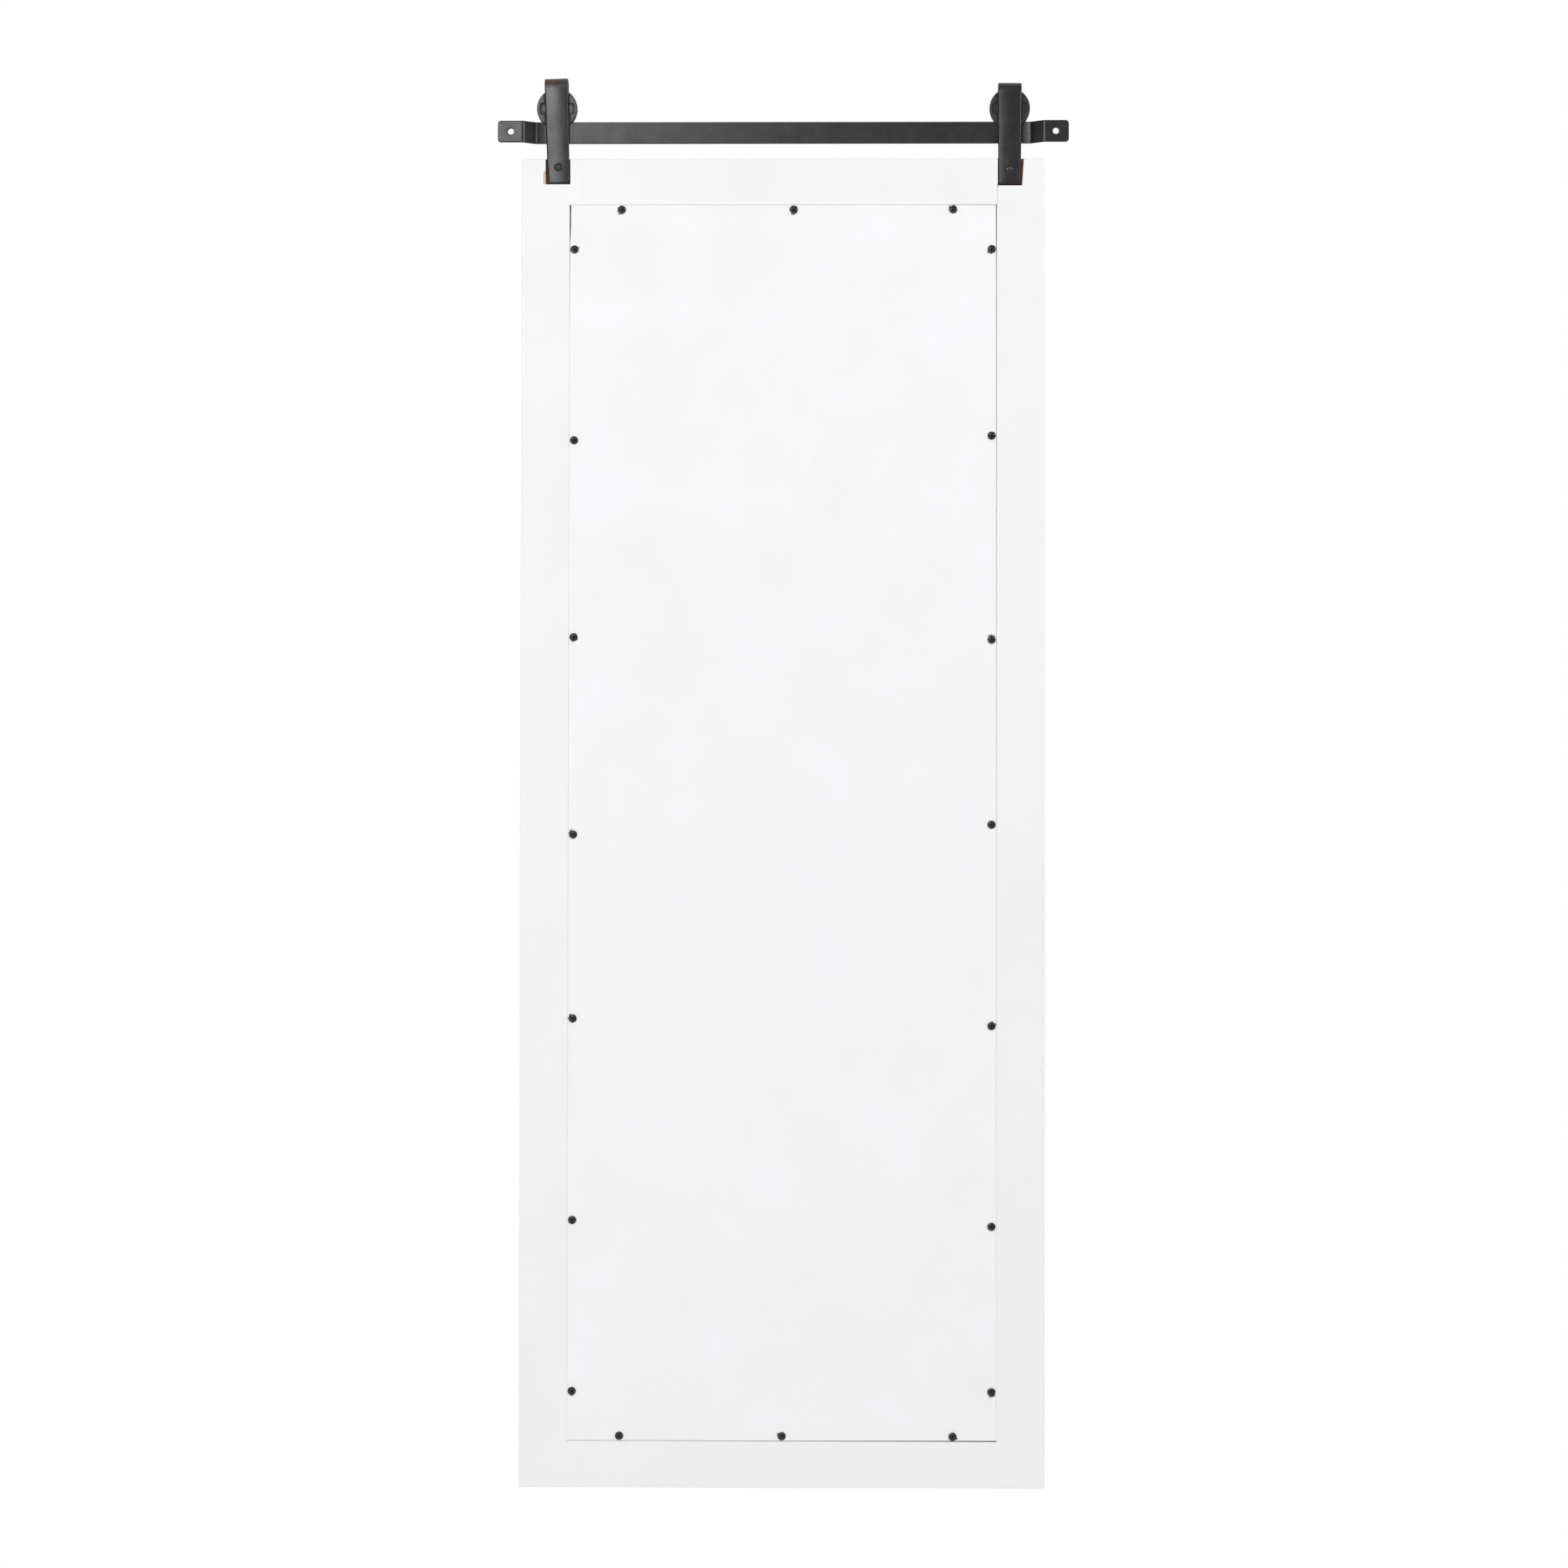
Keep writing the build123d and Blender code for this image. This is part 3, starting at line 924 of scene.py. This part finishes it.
@dataclass
class CrossHeadScrews:
    """Screws with rounded heads and a cross recess, one piece for each CAD node that they stand for.

    Attributes:
        node: The CAD node with the plain screws.
        seat: Distance of the heads' seat from the wall, in millimetres.
        head_radius: Radius of the head.
        head_height: Height of the head above its seat.
        rim_height: Height of the head's straight rim.
        roundness: How square the dome's shoulders are, where 2 is a ball's curve.
        shank: Radius and depth pairs below the seat, from the head's rim inwards.
        recess_reach: How far each arm of the cross goes from the middle.
        recess_width: Width of the arms.
        recess_depth: Depth of the recess in the middle.
        recess_slope: Share of an arm's width that each of its sloping walls takes.
        recess_curve: How fast an arm rises to its end, where 1 is a straight ramp.
        recess_edge: Depth from which a face has the recess's finish.
        seed: Seed for how far each screw happens to be turned.
        rings: Rings of faces from the middle to the rim.
        sectors: Faces round a ring.
    """

    node: str
    seat: float
    head_radius: float = 4.7
    head_height: float = 2.15
    rim_height: float = 0.5
    roundness: float = 2.4
    shank: tuple[tuple[float, float], ...] = ()
    recess_reach: float = 2.7
    recess_width: float = 1.1
    recess_depth: float = 1.5
    recess_slope: float = 0.24
    recess_curve: float = 0.8
    recess_edge: float = 0.1
    seed: int = 1
    rings: int = 26
    sectors: int = 64

    def depth(self, x: float, z: float) -> float:
        """Depth of the cross recess below the head's dome.

        Args:
            x: Distance from the screw's middle along one arm of the cross, in millimetres.
            z: Distance along the other arm.

        Returns:
            The depth in millimetres, 0 outside the recess.
        """
        cut = 0.0
        for along, aside in ((abs(x), abs(z)), (abs(z), abs(x))):
            reach = max(0.0, 1 - along / self.recess_reach)
            rise = ((1 + self.recess_slope) / 2 - aside / self.recess_width) / self.recess_slope
            cut = max(cut, self.recess_depth * reach**self.recess_curve * min(1.0, max(0.0, rise)))
        return cut

    def height(self, x: float, z: float) -> float:
        """Height of the head's surface above its seat.

        Args:
            x: Distance from the screw's middle along one arm of the cross, in millimetres.
            z: Distance along the other arm.

        Returns:
            The height in millimetres.
        """
        share = min(math.hypot(x, z) / self.head_radius, 1.0)
        dome = math.sqrt(max(0.0, 1 - share**self.roundness))
        return self.rim_height + (self.head_height - self.rim_height) * dome - self.depth(x, z)

    def build(self, nodes: dict[str, Object], material: Material, recess_material: Material) -> Object:
        """Builds the row of screws where the CAD node has them.

        Args:
            nodes: The CAD nodes by name.
            material: The screws' finish.
            recess_material: The finish in the cross recess.

        Returns:
            The piece.
        """
        turns = random.Random(self.seed)
        middles = centres_of_screws(nodes[self.node])
        full = 2 * math.pi
        vertices: list[Vector] = []
        faces: list[tuple[int, ...]] = []
        recessed: list[bool] = []
        for middle in middles:
            start = len(vertices)
            turn = turns.uniform(0, full / 4)
            axis = Vector((middle.x, 0, middle.z))
            vertices.append(axis + Vector((0, (self.seat - self.height(0, 0)) * MM, 0)))
            for ring in range(1, self.rings + 1):
                radius = self.head_radius * ring / self.rings
                for sector in range(self.sectors):
                    angle = full * sector / self.sectors
                    spot = around(angle, radius)
                    level = Vector((0, self.seat - self.height(spot.x, spot.z), 0))
                    vertices.append(axis + (around(angle + turn, radius) + level) * MM)
            for radius, depth in ((self.head_radius, 0.0), *self.shank):
                for sector in range(self.sectors):
                    spot = around(full * sector / self.sectors + turn, radius)
                    vertices.append(axis + (spot + Vector((0, self.seat + depth, 0))) * MM)
            last_ring = self.rings + len(self.shank)
            for sector in range(self.sectors):
                beside = (sector + 1) % self.sectors
                faces.append((start, start + 1 + sector, start + 1 + beside))
                recessed.append(True)
                for ring in range(last_ring):
                    inner = start + 1 + ring * self.sectors
                    outer = inner + self.sectors
                    faces.append((inner + sector, outer + sector, outer + beside, inner + beside))
                    halfway = self.head_radius * (ring + 1.5) / self.rings
                    spot = around(full * (sector + 0.5) / self.sectors, halfway)
                    recessed.append(self.depth(spot.x, spot.z) > self.recess_edge)
            faces.append(tuple(start + 1 + last_ring * self.sectors + s for s in range(self.sectors)))
            recessed.append(False)
        piece = new_piece("cross_head_" + self.node, vertices, faces, material)
        piece.data.materials.append(recess_material)
        for polygon, inside in zip(piece.data.polygons, recessed):
            polygon.material_index = int(inside)
        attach(piece, Body.MIRROR.value)
        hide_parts(self.node)
        log.info("%s: %d screws", piece.name, len(middles))
        return piece


@dataclass
class WoodCrumbs:
    """Bare crumbs that driving the screws has pushed up round some of the heads.

    Attributes:
        seat: Distance of the board's face from the wall, in millimetres.
        head_radius: Radius of the heads that the crumbs lie against.
        scatter: How far outside the head a crumb can lie.
        size: Middle size of a crumb.
        sizes: Smallest and largest crumb, as shares of that size.
        clean_share: Share of the screws without crumbs.
        count: Fewest and most crumbs at a screw.
        fan: Angle to each side over which a screw's crumbs lie, in radians.
        corners: Corners of a crumb's foot.
        reach: Nearest and farthest corner from a crumb's middle, as shares of its size.
        lean: How far its tip can lean, as a share of its size.
        height: Height of its tip, as a share of its size.
        seed: Seed for which screws have them and where they lie.
    """

    seat: float = 4.2
    head_radius: float = 4.7
    scatter: float = 0.7
    size: float = 1.7
    sizes: tuple[float, float] = (0.6, 1.4)
    clean_share: float = 0.25
    count: tuple[int, int] = (2, 5)
    fan: float = 0.7
    corners: int = 6
    reach: tuple[float, float] = (0.35, 0.8)
    lean: float = 0.2
    height: float = 0.7
    seed: int = 7

    def build(self, middles: list[Vector], material: Material) -> Object:
        """Builds the crumbs.

        Args:
            middles: Middles of the screws, in metres.
            material: Bare wood.

        Returns:
            The piece.
        """
        chance = random.Random(self.seed)
        vertices: list[Vector] = []
        faces: list[tuple[int, ...]] = []
        for middle in middles:
            if chance.random() < self.clean_share:
                continue
            side = chance.uniform(0, 2 * math.pi)
            for _ in range(chance.randint(*self.count)):
                angle = side + chance.uniform(-self.fan, self.fan)
                radius = self.head_radius + chance.uniform(0.0, self.scatter)
                spot = Vector((middle.x, self.seat * MM, middle.z)) + around(angle, radius * MM)
                size = self.size * chance.uniform(*self.sizes) * MM
                start = len(vertices)
                for step in range(self.corners):
                    reach = size * chance.uniform(*self.reach)
                    vertices.append(spot + around(2 * math.pi * step / self.corners, reach))
                aside, up = (chance.uniform(-self.lean, self.lean) for _ in range(2))
                vertices.append(spot + Vector((aside, -self.height, up)) * size)
                foot = tuple(range(start, start + self.corners))
                faces.append(foot)
                faces.extend((a, b, start + self.corners) for a, b in zip(foot, foot[1:] + foot[:1]))
        piece = new_piece("wood_crumbs", vertices, faces, material)
        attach(piece, Body.MIRROR.value)
        log.info("%s: %d faces", piece.name, len(faces))
        return piece


@dataclass
class WheelTrack:
    """The flat bar with its stepped ends.

    Attributes:
        edge: Width of the bar's eased edges, in millimetres.
    """

    edge: float = 1.0

    def build(self, nodes: dict[str, Object]) -> None:
        """Dresses the bar.

        Args:
            nodes: The CAD nodes by name.
        """
        finish = BlackPaintedSteel("painted_track_bar", bow_mm=1.0)
        dress(nodes["track_bar"], finish.make(), self.edge)
        log.info("track bar dressed")


@dataclass
class Hanger:
    """A strap with its wheel.

    Attributes:
        side: Which of the two it is.
        axle: X and Z of its axle, in millimetres.
        lean: How far the strap's foot leans to the right, in degrees.
        burnt_height: Height above which the strap was heated to bend it, in millimetres.
        burnt: Colour of the heated band.
        edge: Width of the strap's eased edges.
        edge_angle: Least angle of an eased edge, in degrees, which leaves the countersink's rim as it is.
        wheel_edge: Width of the wheel's eased edges.
        countersink: Least and greatest share of a countersink's direction that points to the wall.
    """

    side: Side
    axle: tuple[float, float]
    lean: float
    burnt_height: float
    burnt: str
    edge: float = 1.6
    edge_angle: float = 50.0
    wheel_edge: float = 0.4
    countersink: tuple[float, float] = (0.6, 0.8)

    def build(self, nodes: dict[str, Object]) -> None:
        """Dresses the strap and its wheel.

        Args:
            nodes: The CAD nodes by name.
        """
        name = self.side.value
        steel = BlackPaintedSteel(
            f"painted_{name}_strap",
            crown_mm=0.6,
            middle=self.axle,
            lean=self.lean,
            burnt=self.burnt,
            burnt_height=self.burnt_height,
        )
        strap = nodes[f"{name}_hanger_strap"]
        dress(strap, steel.make(), self.edge, self.edge_angle)
        least, most = self.countersink
        for polygon in strap.data.polygons:
            if polygon.center.z < 0 and least < abs(polygon.normal.y) < most:
                polygon.use_smooth = False
        iron = BlackPaintedCastIron(f"cast_{name}_wheel")
        dress(nodes[f"{name}_wheel"], iron.make(), self.wheel_edge)
        log.info("%s strap and wheel dressed", name)


@dataclass
class FrameMembers:
    """The two stiles, the two rails and what joins them.

    Attributes:
        edge: Width of the eased edges, in millimetres.
        cuts: Where cuts went through the lacquer: the rebate, the two notches and the splintered place. The
            notches' browns are bare wood darkened with painted shade for their depth.
        marks: Thin scuffs on the members.
    """

    edge: float = 0.15
    cuts: tuple[Cut, ...] = (
        Cut(Region((-245.2, 4.2, -1498.2), (245.2, 12.3, -83.8)), "#a5835f", "#5f412c"),
        # The two notches are bare wood painted a darker brown than the rebate and the splinter: painted
        # shade for the notches' depth
        Cut(Region((-272.9, 4.03, -60.6), (-244.2, 7.7, -30.9)), "#7a5a48", "#432b20"),
        Cut(Region((245.5, 4.03, -62.5), (276.2, 7.7, -30.9)), "#8a5636", "#4f2c1a"),
        Cut(Region((-275.7, 4.03, -60.0), (-272.7, 4.95, -43.0)), "#ecd0b8", "#d9ab88"),
        Cut(Region((245.4, 3.9, -66.0), (246.5, 4.1, -62.0)), "#d69a72", "#b0714a"),
    )
    marks: tuple[Scratch, ...] = (
        Scratch((296.0, -175.0), (298.5, -179.0), 1.2),
        Scratch((294.0, -1070.0), (299.0, -1082.0), 1.0),
    )

    def build(self, nodes: dict[str, Object]) -> None:
        """Dresses the members and the tenons.

        Args:
            nodes: The CAD nodes by name.
        """
        lacquer = SprayedWhiteWood("sprayed_white_wood", cuts=self.cuts, marks=self.marks)
        coat = lacquer.make()
        for name in ("left_stile", "right_stile", "top_rail", "bottom_rail"):
            dress(nodes[name], coat, self.edge)
        dress(nodes["corner_tenons"], BareWood("planed_tenon_wood").make())
        log.info("frame members dressed")


@dataclass(frozen=True)
class BoardSide:
    """A side of the backing board, beside a wall of its rebate.

    Attributes:
        wall: X or Z of the rebate's wall, in millimetres.
        inward: 1 where the board lies on the wall's rising side, or -1.
        gaps: Shares of the way along the side, from the left or the top, each with the gap there.
    """

    wall: float
    inward: float
    gaps: tuple[tuple[float, float], ...]

    def edge(self, share: float, waver: float = 0.0) -> float:
        """X or Z of the board's edge at a share of the way along the side.

        Args:
            share: Where to look.
            waver: How much wider the gap happens to be there, in millimetres.

        Returns:
            The edge, with the gap on a straight line between the two nearest shares.
        """
        for (start, first), (end, last) in zip(self.gaps, self.gaps[1:]):
            if share <= end:
                gap = first + (last - first) * (share - start) / (end - start)
                return self.wall + self.inward * (gap + waver)
        return self.wall + self.inward * (self.gaps[-1][1] + waver)


@dataclass
class BackingBoard:
    """The backing board, trimmed by hand to fit its rebate a little unevenly.

    Attributes:
        left: Its left side.
        right: Its right side.
        top: Its top.
        bottom: Its bottom.
        back: Distance of the board's face from the wall, in millimetres.
        thickness: Of the board.
        waver: How far the edge wanders from a straight cut.
        step: Distance between the edge's points.
        seed: Seed for how the edge wanders.
    """

    left: BoardSide = BoardSide(-244.9, 1, ((0, 1.7), (0.02, 1.4), (0.03, 0.5), (0.1, 0.12), (1, 0.08)))
    right: BoardSide = BoardSide(244.9, -1, ((0, 1.0), (0.05, 0.6), (0.35, 0.35), (0.7, 0.12), (1, 0.05)))
    top: BoardSide = BoardSide(-84.1, -1, ((0, 0.15), (0.8, 0.25), (1, 0.5)))
    bottom: BoardSide = BoardSide(-1497.9, 1, ((0, 0.35), (0.6, 0.6), (1, 1.2)))
    back: float = 4.2
    thickness: float = 3.0
    waver: float = 0.06
    step: float = 9.0
    seed: int = 3

    def outline(self) -> list[tuple[float, float]]:
        """Runs round the board's edge, clockwise from the upper left as seen from the wall.

        Returns:
            X and Z of the edge's points, in millimetres.
        """
        wander = random.Random(self.seed)
        points = []
        for side, before, after, upright, backwards in (
            (self.top, self.left, self.right, False, False),
            (self.right, self.top, self.bottom, True, False),
            (self.bottom, self.left, self.right, False, True),
            (self.left, self.top, self.bottom, True, True),
        ):
            corner = 1 if side in (self.right, self.bottom) else 0
            start, end = before.edge(corner), after.edge(corner)
            count = round(abs(end - start) / self.step)
            for i in range(count):
                share = 1 - i / count if backwards else i / count
                along = start + (end - start) * share
                edge = side.edge(share, wander.uniform(0, self.waver))
                points.append((edge, along) if upright else (along, edge))
        return points

    def build(self, material: Material) -> Object:
        """Builds the board in place of the CAD one.

        Args:
            material: The board's finish.

        Returns:
            The piece.
        """
        edge = self.outline()
        count = len(edge)
        vertices = [Vector((x, y, z)) * MM for y in (self.back, self.back + self.thickness) for x, z in edge]
        faces = [tuple(range(count)), tuple(range(2 * count - 1, count - 1, -1))]
        faces += [(i, i + count, (i + 1) % count + count, (i + 1) % count) for i in range(count)]
        piece = new_piece("trimmed_backing_board", vertices, faces, material, smooth=False)
        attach(piece, Body.MIRROR.value)
        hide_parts("backing_board")
        log.info("%s: %d edge points", piece.name, count)
        return piece


@dataclass
class MirrorPanel:
    """The glass, what it stands on, the tape behind it and the board over it.

    Attributes:
        scratches: Scratches in the board's face.
    """

    scratches: tuple[Scratch, ...] = (
        Scratch((29.0, -360.0), (46.0, -400.0), 0.6),
        Scratch((76.0, -455.0), (97.0, -520.0), 0.6),
        Scratch((222.0, -151.0), (229.0, -153.0), 0.8),
    )

    def build(self, nodes: dict[str, Object]) -> None:
        """Dresses the panel's pieces.

        Args:
            nodes: The CAD nodes by name.
        """
        board = WhiteFacedFibreboard("white_faced_board", scratches=self.scratches)
        BackingBoard().build(board.make())
        dress(nodes["mirror_glass"], SilveredGlass("silvered_float_glass").make())
        foam = MouldedRubber("closed_cell_foam", "#d4d4d0", Grain(0.8, 2.0, 0.05))
        dress(nodes["foam_tape"], foam.make())
        dress(nodes["setting_blocks"], MouldedRubber("moulded_block_rubber").make())
        log.info("board, glass, tape and blocks dressed")


@dataclass
class Fasteners:
    """The axle bolts, the washers, the cross-head screws and the crumbs round them.

    Attributes:
        board_nodes: The CAD nodes of the board's screws.
        board_seat: Distance from the wall of what the board's screws sit on, in millimetres.
        bolt_edge: Width of the bolts' eased edges.
        washer_edge: Width of the washers' eased edges.
    """

    board_nodes: tuple[str, ...] = (
        "board_screws_left",
        "board_screws_right",
        "board_screws_top",
        "board_screws_bottom",
    )
    board_seat: float = 4.2
    bolt_edge: float = 0.25
    washer_edge: float = 0.1

    def build(self, nodes: dict[str, Object]) -> None:
        """Builds the screws, and dresses the bolts and the washers.

        Args:
            nodes: The CAD nodes by name.
        """
        oxide = BlackOxideSteel("black_oxide_screw").make()
        # Painted shade: the board screws' cross recess gets a near-black finish without metal, so it reads
        # as a dark cross
        recess = BlackOxideSteel("painted_shade_in_screw_recess", "#040404", "#0c0c0c", 0.0).make()
        painted = BlackOxideSteel("black_painted_screw", "#131314", "#242425", 0.0).make()
        worn = BlackOxideSteel("worn_steel_recess", "#5c5c60", "#8a8a8e").make()
        middles: list[Vector] = []
        for number, node in enumerate(self.board_nodes):
            middles += centres_of_screws(nodes[node])
            CrossHeadScrews(node, self.board_seat, seed=number + 1).build(nodes, oxide, recess)
        CrossHeadScrews(
            "hanger_screws",
            seat=4.0,
            head_radius=5.0,
            head_height=1.5,
            rim_height=0.05,
            roundness=1.7,
            recess_depth=1.6,
            shank=((2.2, 2.8), (2.2, 15.9)),
            seed=9,
        ).build(nodes, painted, worn)
        fibres = BareWood("torn_board_core", light="#c98a5e", dark="#4a2c1e", ring_mm=0.5)
        WoodCrumbs().build(middles, fibres.make())
        dress(nodes["axle_bolts"], oxide, self.bolt_edge)
        zinc = ZincPlatedSteel("zinc_plated_washer")
        dress(nodes["wheel_washers"], zinc.make(), self.washer_edge)
        log.info("bolts and washers dressed")


@dataclass(frozen=True)
class Softbox:
    """A rectangular lamp with even brightness.

    Attributes:
        name: The lamp's name.
        place: Where its middle is, in metres.
        target: What it points at.
        width: In metres.
        height: In metres.
        brightness: How bright its face looks, where 1 is paper white.
    """

    name: str
    place: tuple[float, float, float]
    target: tuple[float, float, float]
    width: float
    height: float
    brightness: float

    def build(self) -> None:
        """Adds the lamp to the scene."""
        lamp = bpy.data.lights.new(self.name, "AREA")
        lamp.shape = "RECTANGLE"
        lamp.size, lamp.size_y = self.width, self.height
        lamp.energy = self.brightness * math.pi * self.width * self.height
        light = bpy.data.objects.new(self.name, lamp)
        place = Vector(self.place)
        light.location = place
        light.rotation_euler = (Vector(self.target) - place).to_track_quat("-Z", "Y").to_euler()
        bpy.context.scene.collection.objects.link(light)


@dataclass
class Studio:
    """The floor, the lights, the white surroundings and the camera.

    Attributes:
        floor_level: Height of the floor, in metres.
        soft_light: Brightness of the even light from all round.
        room_behind_camera: Brightness that a gloss shows of the dim side of the studio.
        camera_place: Where the camera stands.
        yaw: Camera turned to the left, in degrees.
        pitch: Camera tilted up.
        roll: Camera rolled.
        focal_length: In millimetres.
        film_width: In millimetres.
        floor_reach: Distance from the middle of the floor to its sides, in metres.
        shadow_fade: Distances from its middle where the shadow begins to fade to white and is gone.
        least_fade: Share of white under the object.
        ceiling_share: How much a gloss that faces up sees of the bright side of the studio.
        glossy_reach: How far a reflection has to turn from the dim side to see the full white.
        softboxes: The lamps.
    """

    floor_level: float = -1.80
    soft_light: float = 0.71
    room_behind_camera: float = 0.35
    camera_place: tuple[float, float, float] = (0.09098, -5.3, -0.87747)
    yaw: float = 0.961
    pitch: float = 1.390
    roll: float = -0.083
    focal_length: float = 106.55
    film_width: float = 36.0
    floor_reach: float = 25.0
    shadow_fade: tuple[float, float] = (0.5, 1.1)
    least_fade: float = 0.6
    ceiling_share: float = 0.8
    glossy_reach: float = 0.4
    softboxes: tuple[Softbox, ...] = (
        Softbox("key_softbox", (-0.82, -3.0, 0.6), (0.0, 0.0, -0.1), 0.95, 0.9, 7.2),
        Softbox("right_banner", (1.95, -1.9, 0.45), (0.0, 0.0, 0.0), 1.6, 0.4, 6.2),
        Softbox("low_fill", (-1.6, -2.2, -1.3), (-0.2, 0.0, -1.4), 1.2, 0.8, 1.6),
        Softbox("room_softbox", (1.2, 3.0, 0.6), (0.0, 0.0, -0.8), 1.4, 1.4, 3.0),
    )

    def build(self) -> None:
        """Builds everything that isn't part of the object."""
        self.make_floor()
        self.make_world()
        for softbox in self.softboxes:
            softbox.build()
        self.make_camera()

    def make_floor(self) -> None:
        """Makes the pale floor, which keeps the object's shadow and fades to white round it."""
        reach = self.floor_reach
        corners = [(-reach, -reach), (reach, -reach), (reach, reach), (-reach, reach)]
        vertices = [Vector((x, y, self.floor_level)) for x, y in corners]
        material = bpy.data.materials.new("pale_floor")
        material.use_nodes = True
        nodes = Nodes(material.node_tree)
        nodes.tree.nodes.clear()
        place = nodes.add("TexCoord").outputs["Object"]
        distance = nodes.vectors("LENGTH", nodes.vectors("MULTIPLY", place, (1.0, 1.0, 0.0)))
        fade = nodes.mapped(distance, *self.shadow_fade, low=self.least_fade, blend="SMOOTHSTEP")
        diffuse = nodes.add("BsdfDiffuse", {"Color": "#f4f4f4"}).outputs[0]
        glow = nodes.add("Emission", {"Color": WHITE, "Strength": 1.0}).outputs[0]
        share = nodes.maths("MULTIPLY", nodes.add("LightPath").outputs["Is Camera Ray"], fade)
        mix = nodes.add("MixShader", {0: share, 1: diffuse, 2: glow}).outputs[0]
        nodes.add("OutputMaterial", {0: mix})
        floor = new_piece("floor", vertices, [(0, 1, 2, 3)], material)

    def make_world(self) -> None:
        """Makes even soft light, and the white background that the camera and a gloss see."""
        world = bpy.data.worlds.new("white_surroundings")
        bpy.context.scene.world = world
        world.use_nodes = True
        nodes = Nodes(world.node_tree)
        nodes.tree.nodes.clear()
        direction = nodes.add("TexCoord").outputs["Generated"]
        axes = nodes.add("SeparateXYZ", {0: direction}).outputs
        up = nodes.maths("MAXIMUM", axes["Z"], 0.0)
        away = nodes.maths("MULTIPLY_ADD", up, self.ceiling_share, axes["Y"])
        shown = nodes.mapped(away, 0.0, self.glossy_reach, self.room_behind_camera, 1.0, "SMOOTHSTEP")
        soft, reflected, white = (
            nodes.add("Background", {"Color": WHITE, "Strength": strength}).outputs[0]
            for strength in (self.soft_light, shown, 1.0)
        )
        path = nodes.add("LightPath").outputs
        glossy = nodes.maths("MAXIMUM", path["Is Glossy Ray"], path["Is Transmission Ray"])
        light = nodes.add("MixShader", {0: glossy, 1: soft, 2: reflected}).outputs[0]
        mix = nodes.add("MixShader", {0: path["Is Camera Ray"], 1: light, 2: white}).outputs[0]
        nodes.add("OutputWorld", {0: mix})

    def make_camera(self) -> None:
        """Makes the camera, which looks at the wall side from a little to the right."""
        lens = bpy.data.cameras.new("camera")
        lens.lens = self.focal_length
        lens.sensor_width = self.film_width
        camera = bpy.data.objects.new("camera", lens)
        camera.matrix_world = (
            Matrix.Translation(self.camera_place)
            @ Matrix.Rotation(math.radians(self.yaw), 4, "Z")
            @ Matrix.Rotation(math.radians(90 + self.pitch), 4, "X")
            @ Matrix.Rotation(math.radians(-self.roll), 4, "Z")
        )
        bpy.context.scene.collection.objects.link(camera)
        bpy.context.scene.camera = camera


def main() -> None:
    """Builds the wall mirror round its CAD frame."""
    logging.basicConfig(level=logging.INFO, format="%(name)s: %(message)s")
    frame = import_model()
    nodes = frame["nodes"]
    WheelTrack().build(nodes)
    Hanger(Side.LEFT, (-260.0, 27.7), lean=1.6, burnt_height=53.0, burnt="#4d372c").build(nodes)
    Hanger(Side.RIGHT, (260.0, 27.7), lean=-0.3, burnt_height=50.0, burnt="#1c1917").build(nodes)
    FrameMembers().build(nodes)
    MirrorPanel().build(nodes)
    Fasteners().build(nodes)
    Studio().build()
    bpy.context.scene.view_settings.view_transform = "Standard"


if __name__ == "__main__":
    main()
